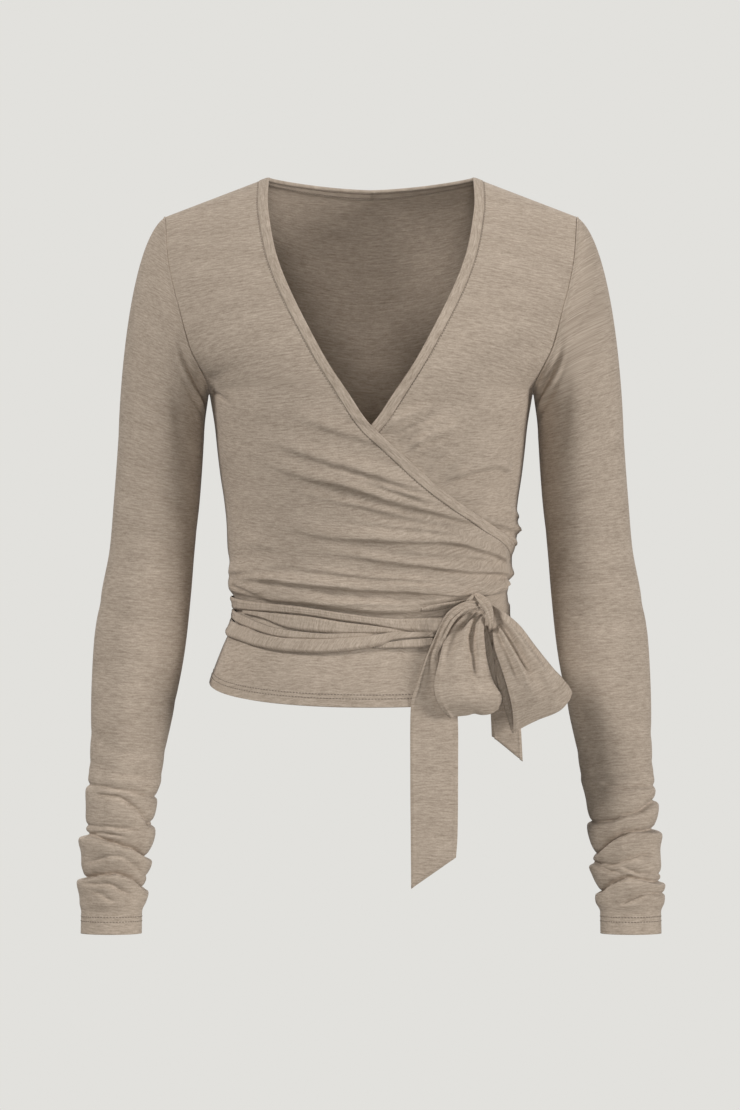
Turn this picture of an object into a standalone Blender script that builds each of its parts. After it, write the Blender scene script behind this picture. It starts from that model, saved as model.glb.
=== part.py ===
"""Wrap top in a fine jersey, worn shape, with nobody in it.

Every cut piece is an open surface, worked out from the sizes below, that a Solidify modifier gives
its wall. Sizes and tables are in millimetres, and MM turns them into metres as each mesh is made.
+Z is up, the front faces -Y, and the wearer's right is at -X. The origin is midway between the two
shoulder points, at their height.

The torso is one closed surface, the skin. A place on it is a turn and a height z: the turn is 0 at
the wearer's right side seam, a quarter at the middle of the front, a half at the left side seam and
three quarters at the middle of the back, in radians. Panels, bands and tie are parts of that skin,
moved out by the layers that they lie on.
"""
import math

import bpy
import numpy as np

MM = 0.001
PART_NAME = "wrap_top"

# ---------------------------------------------------------------- driving sizes
WALL = 1.2                  # jersey
BAND_WALL = 1.6             # turned band of two layers
TIE_WALL = 1.4              # tie, a turned tube pressed flat
SEAM_GAP = 0.4              # between two pieces at a seam
SHOULDER_GAP = 0.3          # from each piece to the plane of the shoulder seam
SEAM_ROW = (1.6, -0.12)     # depth and fall of the level row beside that seam
LAP = 2.4                   # step from one front to the other where they lie on each other
LAP_TOP_Z, LAP_RUN = -140.0, 45.0
SIDE_LIFT = 1.2             # further step where a front goes round, or ends within, a side
SIDE_LIFT_Z, SIDE_LIFT_RUN = -270.0, 20.0
OVER_LIFT_TURN, OVER_LIFT_SPAN = 2.8, 0.4
UNDER_LIFT_TURN, UNDER_LIFT_SPAN = 0.7, 0.5
BAND_WIDTH = 9.0            # turned band of the wrap edges and the back neck

NECK_X = 93.0               # neck end of the shoulder seam
NECK_Z = 36.0
SHOULDER_SLOPE = 0.383      # fall of the seam for each millimetre outwards
NECK_BACK_Z = 28.0          # lowest point of the back neck's edge
NECK_CURVE = 1.7            # how flat that edge is in the middle
UNDERARM_Z = -160.0
HEM_SIDE_Z = -422.0
HEM_FRONT_DIP = 22.0
HEM_BACK_DIP = 12.0
BOXY = 0.02                 # how much squarer than an ellipse a section is

COLOUR = (0.36, 0.30, 0.245, 1.0)
ROUGHNESS = 0.9


def table(columns, *rows):
    """Rows of numbers under named columns, as a dictionary of arrays."""
    return dict(zip(columns.split(), np.array(rows, dtype=float).T))


# Sections of the torso. Above the underarm the half width is that of the whole shoulder line,
# which the armhole cuts short.
TORSO = table(
    "z     half_width front  back",
    (60,   222,       100,   92),
    (0,    220,       104,   97),
    (-40,  216,       108,   101),
    (-85,  207,       113,   103),
    (-121, 185,       117,   103),
    (-150, 155,       118.5, 101),
    (-160, 147.5,     118.5, 100.5),
    (-170, 145.5,     118,   100),
    (-192, 142,       116.5, 98.5),
    (-214, 139.7,     114,   96.5),
    (-236, 137,       110,   94),
    (-257, 133.8,     105.5, 91.5),
    (-279, 131.5,     101,   89),
    (-301, 130.6,     96.5,  87),
    (-316, 128.3,     93.5,  85.5),
    (-324, 128,       92,    85),
    (-332, 130.2,     90.5,  84.5),
    (-338, 129.5,     89.5,  84),
    (-344, 125.5,     88,    83),
    (-352, 122.6,     86.5,  82),
    (-362, 122.8,     86,    82),
    (-372, 125.5,     87,    84),
    (-381, 130.6,     89,    87.5),
    (-397, 137.6,     93.5,  93),
    (-410, 142.6,     97,    97),
    (-422, 147,       100,   100),
    (-450, 151,       104,   102),
)

# How the shoulder rounds off: full depth is reached at this drop below the shoulder line.
FRONT_SLOPE_DROP, FRONT_SLOPE_POWER = 200.0, 1.5
BACK_SLOPE_DROP, BACK_SLOPE_POWER = 150.0, 1.9

ARMHOLE = table(
    "z      x",
    (1,     187),
    (-37,   184),
    (-67,   178),
    (-85,   173),
    (-108,  167),
    (-121,  163),
    (-137,  155.5),
    (-152,  148.7),
    (-160,  147.5),
)

# Free edge of the right front, which lies on top, from the neck to the left side.
WRAP_EDGE = table(
    "z      x",
    (36,    -93),
    (15,    -93.7),
    (-9,    -91),
    (-32,   -86.5),
    (-52,   -80),
    (-76,   -69.6),
    (-106,  -54.6),
    (-136,  -38.2),
    (-164,  -19.5),
    (-188,  -3.2),
    (-214,  24.2),
    (-239,  51.6),
    (-256,  73),
    (-269,  91.5),
    (-279,  105.5),
    (-287,  117.4),
    (-294,  125),
)
# The same edge past the left side seam, where the front narrows to its tie.
# That of the left front, its mirror image within, stops short of the right side seam.
EDGE_PAST_SIDE = table(
    "z      over  under",
    (-304,  0,    -8),
    (-314,  9,    -4.2),
    (-324,  15.5, -3.2),
    (-334,  18,   -3),
    (-344,  15.5, -3),
    (-354,  8.5,  -3),
    (-364,  1,    -3),
    (-374,  -2,   -3),
    (-450,  -2,   -3),
)

# Where each key row of a front runs: its height at the side seam and at the wrap edge, and the
# number of mesh rows down to the next one.
OVER_ROWS = table(
    "side   edge   rows",
    (-160,  -150,  4),
    (-200,  -225,  4),
    (-232,  -262,  4),
    (-254,  -286,  6),
    (-284,  -312,  4),
    (-308,  -328,  5),
    (-340,  -344,  3),
    (-356,  -357,  3),
    (-384,  -384,  4),
)
UNDER_ROWS = table(
    "side   edge   rows",
    (-160,  -150,  3),
    (-207,  -240,  4),
    (-262,  -296,  3),
    (-298,  -318,  4),
    (-335,  -336,  4),
    (-366,  -366,  2),
    (-384,  -384,  3),
)
BACK_ROWS = table(
    "z      rows",
    (-160,  3),
    (-245,  2),
    (-300,  4),
    (-336,  4),
    (-366,  2),
    (-384,  3),
)
TOP_ROW_SHARE = 0.99        # share of the height of the first row below the shoulder line
OVER_COLUMNS = 18
UNDER_COLUMNS = 13
BACK_SHOULDER_COLUMNS = 4
BACK_NECK_COLUMNS = 10

# Folds of the right front that run into the knot: a crease through three places, and the ridge
# just above it, with its height and how far it reaches up and down.
FRONT_FOLDS = table(
    "x0    z0     x1     z1     x2    z2     height up  down",
    (-70,  -219,  -20,   -234,  48,   -250,  1.6,   9,  4),
    (-50,  -243,  24,    -261,  88,   -280,  2.2,   10, 4),
    (-42,  -292,  35,    -297,  112,  -313,  2.4,   12, 5),
    (-84,  -298,  17,    -316,  124,  -329,  3.0,   11, 5),
    (-124, -325,  -20,   -340,  118,  -337,  3.0,   12, 5),
)
# The lowest gather rolls over the waist tie and ends in the knot.
ROLL = table(
    "x      edge    height",
    (-127,  -343,   1),
    (-90,   -349,   4),
    (-24,   -358,   5.5),
    (36,    -361,   5.5),
    (76,    -352,   4.5),
    (100,   -344,   3),
    (122,   -343,   1),
)
ROLL_TOP = 8.5              # from the roll's lower edge up to its top line
ROLL_UP, ROLL_DOWN = 9.0, 4.5
FOLD_FADE, ROLL_FADE = 0.4, 0.25

# Tie over the front: each stretch has an upper and a lower edge, and stands out by its puff.
TIE_FRONT_STRETCHES = {
    "tie_front_upper": table(
        "x      upper   lower   puff",
        (-122.5, -344.2, -354.0, 3.0),
        (-109,  -348.2, -356.2, 3.4),
        (-65,   -353.6, -360.2, 3.8),
        (-24,   -359.8, -367.2, 4.0),
        (2,     -363.4, -370.6, 4.0),
        (24,    -366.2, -375.4, 4.2),
        (55,    -370.0, -378.0, 3.6),
        (76,    -368.0, -374.0, 2.6),
    ),
    "tie_front_middle": table(
        "x      upper   lower   puff",
        (-114,  -357.4, -359.6, 1.2),
        (-99,   -358.8, -363.4, 2.2),
        (-84,   -360.0, -369.6, 3.0),
        (-73,   -361.0, -373.4, 3.2),
        (-55,   -363.0, -376.6, 3.2),
        (-24,   -368.4, -378.6, 3.2),
        (2,     -372.2, -378.6, 2.4),
        (14,    -374.6, -376.2, 1.4),
    ),
    "tie_front_crossing": table(
        "x      upper   lower   puff",
        (-123,  -357.4, -364.4, 2.6),
        (-114,  -362.4, -371.0, 2.8),
        (-99,   -369.6, -376.8, 2.8),
        (-82,   -375.4, -380.8, 2.4),
        (-68,   -379.8, -382.0, 1.4),
    ),
    "tie_front_lower": table(
        "x      upper   lower   puff",
        (-126.5, -366.8, -379.0, 3.0),
        (-114,  -373.6, -385.6, 3.4),
        (-99,   -379.2, -390.6, 3.8),
        (-73,   -383.4, -395.0, 4.0),
        (-46,   -383.8, -396.2, 4.0),
        (-24,   -382.6, -394.6, 4.0),
        (-9,    -381.4, -392.6, 3.8),
        (9,     -379.2, -389.0, 3.6),
        (20,    -377.6, -384.6, 3.2),
        (36,    -378.6, -382.8, 2.4),
        (55,    -379.4, -381.6, 1.6),
    ),
    "tie_front_lowest": table(
        "x      upper   lower   puff",
        (14,    -388.4, -391.0, 1.6),
        (24,    -385.4, -391.4, 2.4),
        (37,    -384.0, -391.4, 2.8),
        (55,    -383.0, -390.4, 2.8),
    ),
    "tie_front_end": table(
        "x      upper   lower   puff",
        (60,    -348.4, -354.0, 2.6),
        (74,    -345.4, -350.0, 3.0),
        (82,    -343.8, -348.2, 3.0),
        (88.5,  -342.6, -346.6, 2.4),
    ),
}
TIE_GAP = 0.9               # from the faceted panel to the tie on it
TIE_ROWS = 3
TIE_COLUMN_STEP = 0.14      # turn between two columns of a stretch

# Tie over the back, from the narrow end of the right front to the right side seam.
TIE_BACK_STRETCHES = {
    "tie_back_upper": table(
        "turn   upper   lower   puff",
        (3.5,   -325.0, -333.0, 2.4),
        (4.2,   -331.0, -340.0, 3.4),
        (4.9,   -337.0, -347.0, 3.6),
        (5.7,   -342.0, -352.5, 3.4),
        (6.26,  -344.2, -354.0, 3.0),
    ),
    "tie_back_lower": table(
        "turn   upper   lower   puff",
        (3.5,   -334.0, -342.0, 2.4),
        (4.2,   -342.0, -353.0, 3.4),
        (4.9,   -350.0, -365.0, 4.0),
        (5.7,   -356.0, -375.0, 4.0),
        (6.26,  -358.0, -379.0, 3.2),
    ),
}

# Sleeve, from just below the underarm to the cuff: its outer and inner side seen from the front,
# half its depth, and how far it hangs forwards.
SLEEVE = table(
    "z      outer  inner  depth forward",
    (-200,  229.8, 151.9, 45,   0),
    (-229,  231.8, 153.6, 44,   0),
    (-258,  234,   155.8, 43,   1),
    (-301,  237.6, 160.2, 41,   3),
    (-345,  246,   163.8, 41,   6),
    (-389,  252,   168.4, 40,   9),
    (-432,  254,   175.6, 38.5, 13),
    (-476,  254.8, 184.7, 36,   17),
    (-505,  256,   190,   34,   20),
    (-531,  259,   195.5, 32.5, 22),
    (-565,  262.5, 198.5, 31.5, 24),
    (-600,  265.5, 203,   30.5, 26),
    (-622,  265,   206,   29.5, 28),
    (-650,  265,   207,   29,   29),
)
SLEEVE_COLUMNS = 16
CAP_RINGS = 7
UPPER_ARM_RINGS = 5
# How the cap leaves the armhole, at its top and at the underarm, and how it reaches the arm.
CAP_LEAVES_TOP = (-92.0, 0.0, -58.0)
CAP_LEAVES_UNDERARM = (-4.0, 0.0, -38.0)
CAP_SWELL_OUT, CAP_SWELL_DEEP = 34.0, 10.0
CAP_ARRIVES = (-4.0, 0.0, -170.0)
CAP_ARRIVES_UNDERARM = 0.3
CUFF_TOP_Z = -505.0
CUFF_FOLD_STEP = 6.0
CUFF_FOLDS_END_Z = -622.0
CUFF_Z = -650.0

# Creases of the pushed-up wrists: height at the outer side, the middle and the inner side, the
# part of the front that they cross, from 0 outside to 1 inside, and their depth.
RIGHT_CUFF_CREASES = table(
    "outer  middle  inner  start end  depth",
    (-514,  -519,   -526,  0.0,  1.0, 3.0),
    (-524,  -533,   -551,  0.2,  1.0, 3.5),
    (-537,  -540,   -544,  0.0,  0.6, 2.0),
    (-558,  -568,   -577,  0.0,  0.9, 5.0),
    (-580,  -582,   -588,  0.0,  1.0, 2.5),
    (-599,  -595,   -606,  0.0,  1.0, 5.0),
    (-612,  -607,   -617,  0.0,  1.0, 2.5),
)
LEFT_CUFF_CREASES = table(
    "outer  middle  inner  start end  depth",
    (-520,  -518,   -514,  0.0,  0.8, 2.5),
    (-534,  -543,   -549,  0.0,  1.0, 4.0),
    (-553,  -562,   -584,  0.0,  1.0, 5.0),
    (-578,  -585,   -588,  0.2,  1.0, 3.5),
    (-600,  -602,   -607,  0.0,  1.0, 4.5),
    (-611,  -612,   -620,  0.0,  1.0, 3.5),
)
CREASE_REACH = 4.5
CREASE_FADE = 0.18
BACK_CREASE_SHIFT = 6.0     # the creases run on round the back, a little lower
CUFF_PUFF = 1.6
CUFF_FADE = 9.0

# Bow: each ribbon is given by its two edges, row by row, and by how far its middle stands out.
BOW_END_LONG = table(
    "left_x left_z  left_y right_x right_z right_y arch",
    (86.5,  -350.6, -80,   92.6,   -358.4, -79,    0.5),
    (73.7,  -355.6, -88,   83.7,   -365.6, -86,    2),
    (62.8,  -364.9, -91,   77.4,   -376.0, -88,    3),
    (56.4,  -375.0, -92,   74.0,   -389.5, -89,    3),
    (50.0,  -393.1, -94,   73.0,   -406.8, -90,    3),
    (41.0,  -423.2, -101,  75.0,   -432.3, -95,    2),
    (35.5,  -443.2, -104,  77.4,   -450.5, -98,    1.5),
    (35.0,  -503.2, -103,  77.8,   -503.2, -100,   1.5),
    (36.4,  -557.8, -102,  77.8,   -557.8, -101,   1),
    (37.3,  -609.7, -101,  76.4,   -582.9, -101,   0.5),
)
BOW_END_SHORT = table(
    "left_x left_z  left_y right_x right_z right_y arch",
    (102.3, -371.1, -77,   109.5,  -371.1, -77,    0.3),
    (104.0, -394.0, -80,   124.7,  -394.0, -78,    2),
    (106.0, -430.4, -84,   131.0,  -430.4, -82,    2),
    (107.4, -453.2, -86,   133.8,  -453.2, -85,    1.5),
    (108.3, -470.5, -87,   137.0,  -495.0, -87,    0.5),
)
BOW_LOOP_RIGHT = table(
    "left_x left_z  left_y right_x right_z right_y arch",
    (93.2,  -359.8, -80,   97.0,   -363.0, -80,    0.5),
    (79.5,  -367.0, -96,   97.5,   -370.0, -92,    2),
    (65.5,  -376.0, -102,  98.0,   -378.0, -98,    4),
    (61.0,  -399.5, -107,  103.7,  -399.5, -103,   6),
    (56.4,  -421.3, -111,  109.2,  -421.3, -107,   7),
    (60.0,  -440.0, -113,  117.0,  -438.5, -109,   5),
    (70.5,  -456.5, -108,  111.0,  -450.0, -104,   1),
    (61.0,  -440.0, -103,  115.0,  -438.5, -98,    -1),
    (58.0,  -421.3, -101.5, 112.0, -421.3, -95,    -1),
    (62.5,  -399.5, -98,   107.5,  -399.5, -91,    -1),
    (72.0,  -379.0, -94,   101.0,  -380.0, -87,    -1),
    (90.0,  -365.5, -79,   97.0,   -367.5, -76,    0),
)
BOW_LOOP_LEFT = table(
    "left_x left_z  left_y right_x right_z right_y arch",
    (111.2, -366.0, -80,   112.6,  -357.6, -78,    0.5),
    (111.0, -384.9, -93,   129.2,  -366.0, -90,    3),
    (114.7, -402.2, -101,  144.7,  -384.0, -97,    6),
    (121.9, -419.5, -106,  161.0,  -405.0, -101,   7),
    (125.6, -440.0, -108,  174.0,  -422.0, -103,   5),
    (126.5, -465.5, -103,  179.0,  -432.0, -98,    0),
    (120.0, -445.0, -98,   171.0,  -419.0, -93,    -3),
    (112.5, -420.0, -94,   154.0,  -399.0, -89,    -3),
    (110.0, -399.0, -90,   137.5,  -380.5, -86,    -2),
    (110.3, -383.5, -86,   124.0,  -366.5, -83,    -1),
    (111.2, -370.0, -76,   112.6,  -360.5, -74,    0),
)
RIBBON_STEPS = 2            # mesh rows for each row of a ribbon's table
RIBBON_COLUMNS = 5

# The knot's own turn of ribbon: a ring about a level axis, leaning as it goes down.
KNOT_CENTRE_Y, KNOT_CENTRE_Z = -78.0, -356.0
KNOT_HALF_DEPTH, KNOT_HALF_HEIGHT = 10.0, 13.5
KNOT_TOP_X, KNOT_BOTTOM_X = 97.5, 106.0
KNOT_WIDTH = 8.0
KNOT_SEGMENTS = 16
KNOT_COLUMNS = 3


# ---------------------------------------------------------------- curves
def smooth(at, xs, ys):
    """Cubic curve through the points (xs, ys), with no overshoot, held level past both ends."""
    order = np.argsort(xs)
    xs, ys = np.asarray(xs)[order], np.asarray(ys)[order]
    steps = np.diff(xs)
    rises = np.diff(ys) / steps
    slopes = np.zeros_like(ys)
    product = rises[1:] * rises[:-1]
    total = rises[1:] + rises[:-1]
    same_way = product > 0
    slopes[1:-1][same_way] = 2 * product[same_way] / total[same_way]
    slopes[0], slopes[-1] = rises[0], rises[-1]
    cell = np.clip(np.searchsorted(xs, at) - 1, 0, len(xs) - 2)
    t = np.clip((at - xs[cell]) / steps[cell], 0, 1)
    start = (1 + 2 * t) * (1 - t) ** 2 * ys[cell] + t * (1 - t) ** 2 * steps[cell] * slopes[cell]
    end = t * t * (3 - 2 * t) * ys[cell + 1] + t * t * (t - 1) * steps[cell] * slopes[cell + 1]
    return start + end


def smoothstep(value):
    """0 below 0, 1 above 1, and a soft S between."""
    value = np.clip(value, 0, 1)
    return value * value * (3 - 2 * value)


def ridge(distance, up, down):
    """Height, 0 to 1, of a soft ridge at a signed distance above its top line."""
    return np.exp(-(distance / np.where(distance > 0, up, down)) ** 2)


# ---------------------------------------------------------------- the skin of the torso
def crest(x):
    """Height of the shoulder line."""
    return NECK_Z - SHOULDER_SLOPE * (np.abs(x) - NECK_X)


def slope_factor(drop, full_drop, power):
    """Share of the full depth at a drop below the shoulder line."""
    rest = 1 - np.clip(drop / full_drop, 0, 1)
    return (1 - rest ** power) ** (1 / power)


def torso_x(turn, z):
    """x = -w(z) (cos t - b cos 3t) / (1 - b)"""
    half_width = smooth(z, TORSO["z"], TORSO["half_width"])
    return -half_width * (np.cos(turn) - BOXY * np.cos(3 * turn)) / (1 - BOXY)


def torso(turn, z):
    """Points of the skin: y = -d(z) (sin t + b sin 3t) / (1 - b), less near the shoulder line."""
    x = torso_x(turn, z)
    side = (np.sin(turn) + BOXY * np.sin(3 * turn)) / (1 - BOXY)
    drop = crest(x) - z
    front = smooth(z, TORSO["z"], TORSO["front"])
    back = smooth(z, TORSO["z"], TORSO["back"])
    front = front * slope_factor(drop, FRONT_SLOPE_DROP, FRONT_SLOPE_POWER)
    back = back * slope_factor(drop, BACK_SLOPE_DROP, BACK_SLOPE_POWER)
    y = -side * np.where(side > 0, front, back)
    return np.stack(np.broadcast_arrays(x, y, z), axis=-1)


def outward(turn, z):
    """Unit normals of the skin, pointing away from its inside."""
    small_turn, small_z = 0.01, 1.0
    along = torso(turn + small_turn, z) - torso(turn - small_turn, z)
    up = torso(turn, z + small_z) - torso(turn, z - small_z)
    normal = np.cross(along, up)
    return normal / np.linalg.norm(normal, axis=-1, keepdims=True)


def turn_at(x, z):
    """Turn of the front's point at x: cos t = ((1 - b) u + 4 b cos^3 t) / (1 + 3 b)"""
    half_width = smooth(z, TORSO["z"], TORSO["half_width"])
    share = np.clip(-x / half_width, -1, 1)
    cosine = share
    for _ in range(12):
        cosine = ((1 - BOXY) * share + 4 * BOXY * cosine ** 3) / (1 + 3 * BOXY)
    return np.arccos(np.clip(cosine, -1, 1))


def turn_width(turn, z):
    """Millimetres round the skin for each radian of turn."""
    half_width = smooth(z, TORSO["z"], TORSO["half_width"])
    depth = smooth(z, TORSO["z"], TORSO["front"])
    return np.hypot(half_width * np.sin(turn), depth * np.cos(turn))


def hem_z(turn):
    """Height of the hem, lower at the front and the back than at the sides."""
    dip = np.where(np.sin(turn) > 0, HEM_FRONT_DIP, HEM_BACK_DIP)
    return HEM_SIDE_Z - dip * np.abs(np.sin(turn))


def lap_share(z):
    """1 where the two fronts lie on each other, 0 above the neck's point."""
    return smoothstep((LAP_TOP_Z - z) / LAP_RUN)


def over_lift(turn, z):
    """How far the right front stands off the skin: not at its own side, by a full lap at the left."""
    lap = LAP * lap_share(z) * np.clip(turn / math.pi, 0, 1)
    at_side = smoothstep((turn - OVER_LIFT_TURN) / OVER_LIFT_SPAN)
    return lap + SIDE_LIFT * at_side * smoothstep((SIDE_LIFT_Z - z) / SIDE_LIFT_RUN)


def under_lift(turn, z):
    """The same for the left front, which lies inside."""
    lap = LAP * lap_share(z) * (1 - np.clip(turn / math.pi, 0, 1))
    at_side = smoothstep((UNDER_LIFT_TURN - turn) / UNDER_LIFT_SPAN)
    return -lap - SIDE_LIFT * at_side * smoothstep((SIDE_LIFT_Z - z) / SIDE_LIFT_RUN)


def front_folds(turn, z):
    """Height of the right front's folds and of its roll over the tie."""
    height = np.zeros(np.broadcast(turn, z).shape)
    for fold in zip(*FRONT_FOLDS.values()):
        x0, z0, x1, z1, x2, z2, tall, up, down = fold
        places = turn_at(np.array([x0, x1, x2]), np.array([z0, z1, z2]))
        crease = smooth(turn, places, np.array([z0, z1, z2]))
        fade_in = smoothstep((turn - places[0]) / FOLD_FADE)
        fade_out = smoothstep((places[2] - turn) / FOLD_FADE)
        height += tall * fade_in * fade_out * ridge(z - crease - down, up, down)
    places = turn_at(ROLL["x"], ROLL["edge"])
    edge = smooth(turn, places, ROLL["edge"])
    window = smoothstep(turn / ROLL_FADE) * smoothstep((math.pi - turn) / ROLL_FADE)
    tall = smooth(turn, places, ROLL["height"]) * window
    return height + tall * ridge(z - edge - ROLL_TOP, ROLL_UP, ROLL_DOWN)


# ---------------------------------------------------------------- meshes and materials
def cloth_material(name):
    """Dull jersey in the garment's one colour."""
    material = bpy.data.materials.new("jersey_" + name)
    material.use_nodes = True
    shader = material.node_tree.nodes["Principled BSDF"]
    shader.inputs["Base Color"].default_value = COLOUR
    shader.inputs["Roughness"].default_value = ROUGHNESS
    shader.inputs["Metallic"].default_value = 0.0
    return material


def sheet(name, points, collection, wall=WALL, closed=False):
    """A named piece of cloth from a grid of points in millimetres, its wall on the inner side.

    Seen from outside, the rows of the grid run downwards and its columns from left to right, and
    a closed grid joins its last column to its first.
    """
    rows, columns = points.shape[:2]
    index = np.arange(rows * columns).reshape(rows, columns)
    if closed:
        index = np.column_stack([index, index[:, 0]])
    faces = np.stack([index[:-1, :-1], index[1:, :-1], index[1:, 1:], index[:-1, 1:]], axis=-1)
    mesh = bpy.data.meshes.new(name)
    mesh.from_pydata((points.reshape(-1, 3) * MM).tolist(), [], faces.reshape(-1, 4).tolist())
    mesh.shade_smooth()
    mesh.set_sharp_from_angle(angle=math.radians(60))
    mesh.materials.append(cloth_material(name))
    piece = bpy.data.objects.new(name, mesh)
    collection.objects.link(piece)
    solidify = piece.modifiers.new("wall", "SOLIDIFY")
    solidify.thickness = wall * MM
    solidify.offset = -1
    return piece


# ---------------------------------------------------------------- wrap edge
def edge_turn(z, front):
    """Turn of the free edge at each height, counted from the front's own side seam."""
    last_z = WRAP_EDGE["z"][-1]
    seen = turn_at(smooth(z, WRAP_EDGE["z"], WRAP_EDGE["x"]), z)
    side = math.pi + np.radians(EDGE_PAST_SIDE[front])
    heights = np.append(last_z, EDGE_PAST_SIDE["z"])
    turns = np.append(turn_at(WRAP_EDGE["x"][-1], last_z), side)
    return np.where(z > last_z, seen, smooth(z, heights, turns))


def inset(z, front, distance):
    """Turn and height of the place a distance in from the free edge at z, square to the edge."""
    small = 2.0
    turn = edge_turn(z, front)
    width = turn_width(turn, z)
    run = (edge_turn(z - small, front) - edge_turn(z + small, front)) * width
    length = np.hypot(run, 2 * small)
    return turn - distance * 2 * small / length / width, z - distance * run / length


def upper_inset(edge_x, edge_z, share, front, distance):
    """The same above the underarm's row, where the top row stays on the shoulder line."""
    turn, z = inset(edge_z, front, distance)
    x = torso_x(turn, z)
    x = edge_x - distance * share + (x - edge_x) * (1 - share)
    on_crest = crest(x) - (crest(edge_x) - edge_z)
    z = z + (on_crest - z) * share ** 2
    return turn_at(x, z), z


def row_heights(key_rows):
    """Heights of the front rows below the underarm, at the side seam and at the wrap edge."""
    key_count = len(key_rows["rows"])
    starts = np.concatenate([[0], np.cumsum(key_rows["rows"])])
    rows = np.arange(int(starts[-1]) + 1)
    share = np.interp(rows, starts, np.arange(key_count + 1))
    keys = np.arange(key_count)
    side = np.interp(share, keys, key_rows["side"])
    edge = np.interp(share, keys, key_rows["edge"])
    to_hem = np.clip(share - (key_count - 1), 0, 1)
    return side, edge, to_hem


def upper_shares():
    """Share of the height from the underarm's row to the shoulder line, from 1 down.

    The rows meet the armhole where the sleeve's columns do.
    """
    half = SLEEVE_COLUMNS // 2
    around = np.arange(1, half) * math.pi / half
    return np.concatenate([[1, TOP_ROW_SHARE], (1 + np.cos(around)) / 2])


def armhole_points(share):
    """x (positive) and z of the armhole at each share of its height."""
    z = np.full(np.shape(share), UNDERARM_Z, dtype=float)
    for _ in range(12):
        x = smooth(z, ARMHOLE["z"], ARMHOLE["x"])
        z = UNDERARM_Z + (crest(x) - UNDERARM_Z) * share
    return x, z


def front_rows(key_rows, front):
    """Ends of every row of a front: at its side, where it and its band stop, and at the free edge."""
    share = upper_shares()
    arm_x, arm_z = armhole_points(share)
    arm_turn = turn_at(-arm_x, arm_z)
    base_edge = key_rows["edge"][0]
    edge_z = np.full(share.shape, base_edge)
    for _ in range(12):
        edge_x = smooth(edge_z, WRAP_EDGE["z"], WRAP_EDGE["x"])
        edge_z = base_edge + (crest(edge_x) - base_edge) * share
    side_z, low_edge_z, to_hem = row_heights(key_rows)
    join = np.concatenate
    ends = {}
    for name, distance in (("band", BAND_WIDTH), ("panel", BAND_WIDTH + SEAM_GAP)):
        turn, z = upper_inset(edge_x, edge_z, share, front, distance)
        low_turn, low_z = inset(low_edge_z, front, distance)
        ends[name + "_turn"] = join([turn, low_turn])
        ends[name + "_z"] = join([z, low_z])
    return ends | {
        "share": join([share, np.zeros(side_z.size)]),
        "to_hem": join([np.zeros(share.size), to_hem]),
        "side_turn": join([arm_turn, np.zeros(side_z.size)]),
        "side_z": join([arm_z, side_z]),
        "edge_turn": join([edge_turn(edge_z, front), edge_turn(low_edge_z, front)]),
        "edge_z": join([edge_z, low_edge_z]),
    }


def drop_to_hem(turn, z, to_hem):
    """Heights of the last rows, which spread down to the hem."""
    return z + (hem_z(turn) - z) * to_hem


def seam_row(points, back):
    """Adds a narrow level row behind the shoulder line, so that the wall ends square there."""
    points[0, :, 1] = back * SHOULDER_GAP
    deep, fall = SEAM_ROW
    level = points[0] + np.array([0, back * deep, fall])
    return np.concatenate([points[:1], level[None], points[1:]])


def front_grid(rows, columns):
    """Turn and height of the right front's points, from its side seam to the band's seam."""
    share = np.linspace(0, 1, columns + 1)[None, :]
    start, end = rows["side_turn"][:, None], rows["panel_turn"][:, None]
    turn = start + (end - start) * share
    x = torso_x(turn, rows["side_z"][:, None])
    across = (x - x[:, :1]) / (x[:, -1:] - x[:, :1])
    upper = rows["share"][:, None]
    along = share + (across - share) * np.where(upper > 0, 1, 0)
    z = rows["side_z"][:, None] + (rows["panel_z"] - rows["side_z"])[:, None] * along
    return turn, drop_to_hem(turn, z, rows["to_hem"][:, None])


def settle_on_crest(points):
    """Keeps the top row on the shoulder line."""
    points[0, :, 2] = crest(points[0, :, 0])
    return points


# ---------------------------------------------------------------- fronts, back and bands
def nudge_from_side(points, side):
    """Keeps the piece its half of the seam's gap from the plane of the side seams."""
    limit = SEAM_GAP / 2
    if side < 0:
        points[..., 1] = np.minimum(points[..., 1], -limit)
    else:
        points[..., 1] = np.maximum(points[..., 1], limit)
    return points


def make_front_over(collection, rows):
    turn, z = front_grid(rows, OVER_COLUMNS)
    lift = over_lift(turn, z) + front_folds(turn, z)
    points = torso(turn, z) + outward(turn, z) * lift[..., None]
    points = settle_on_crest(points)
    points[:, 0, 1] = np.minimum(points[:, 0, 1], -SEAM_GAP / 2)
    return sheet("front_over", seam_row(points, -1), collection)


def band_grid(rows, columns):
    """Turn and height of the wrap edge's band, from its seam to its free edge."""
    share = np.linspace(0, 1, columns + 1)[None, :]
    turn = rows["band_turn"][:, None] + (rows["edge_turn"] - rows["band_turn"])[:, None] * share
    z = rows["band_z"][:, None] + (rows["edge_z"] - rows["band_z"])[:, None] * share
    return turn, drop_to_hem(turn, z, rows["to_hem"][:, None])


def make_binding_over(collection, rows):
    turn, z = band_grid(rows, 1)
    lift = over_lift(turn, z) + front_folds(turn, z) + BAND_WALL - WALL
    points = torso(turn, z) + outward(turn, z) * lift[..., None] * np.ones(3)
    points = settle_on_crest(points)
    return sheet("binding_over", seam_row(points, -1), collection, wall=BAND_WALL)


def mirrored(points):
    """The same grid on the other side of the wearer."""
    return points[:, ::-1] * np.array([-1, 1, 1])


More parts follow.
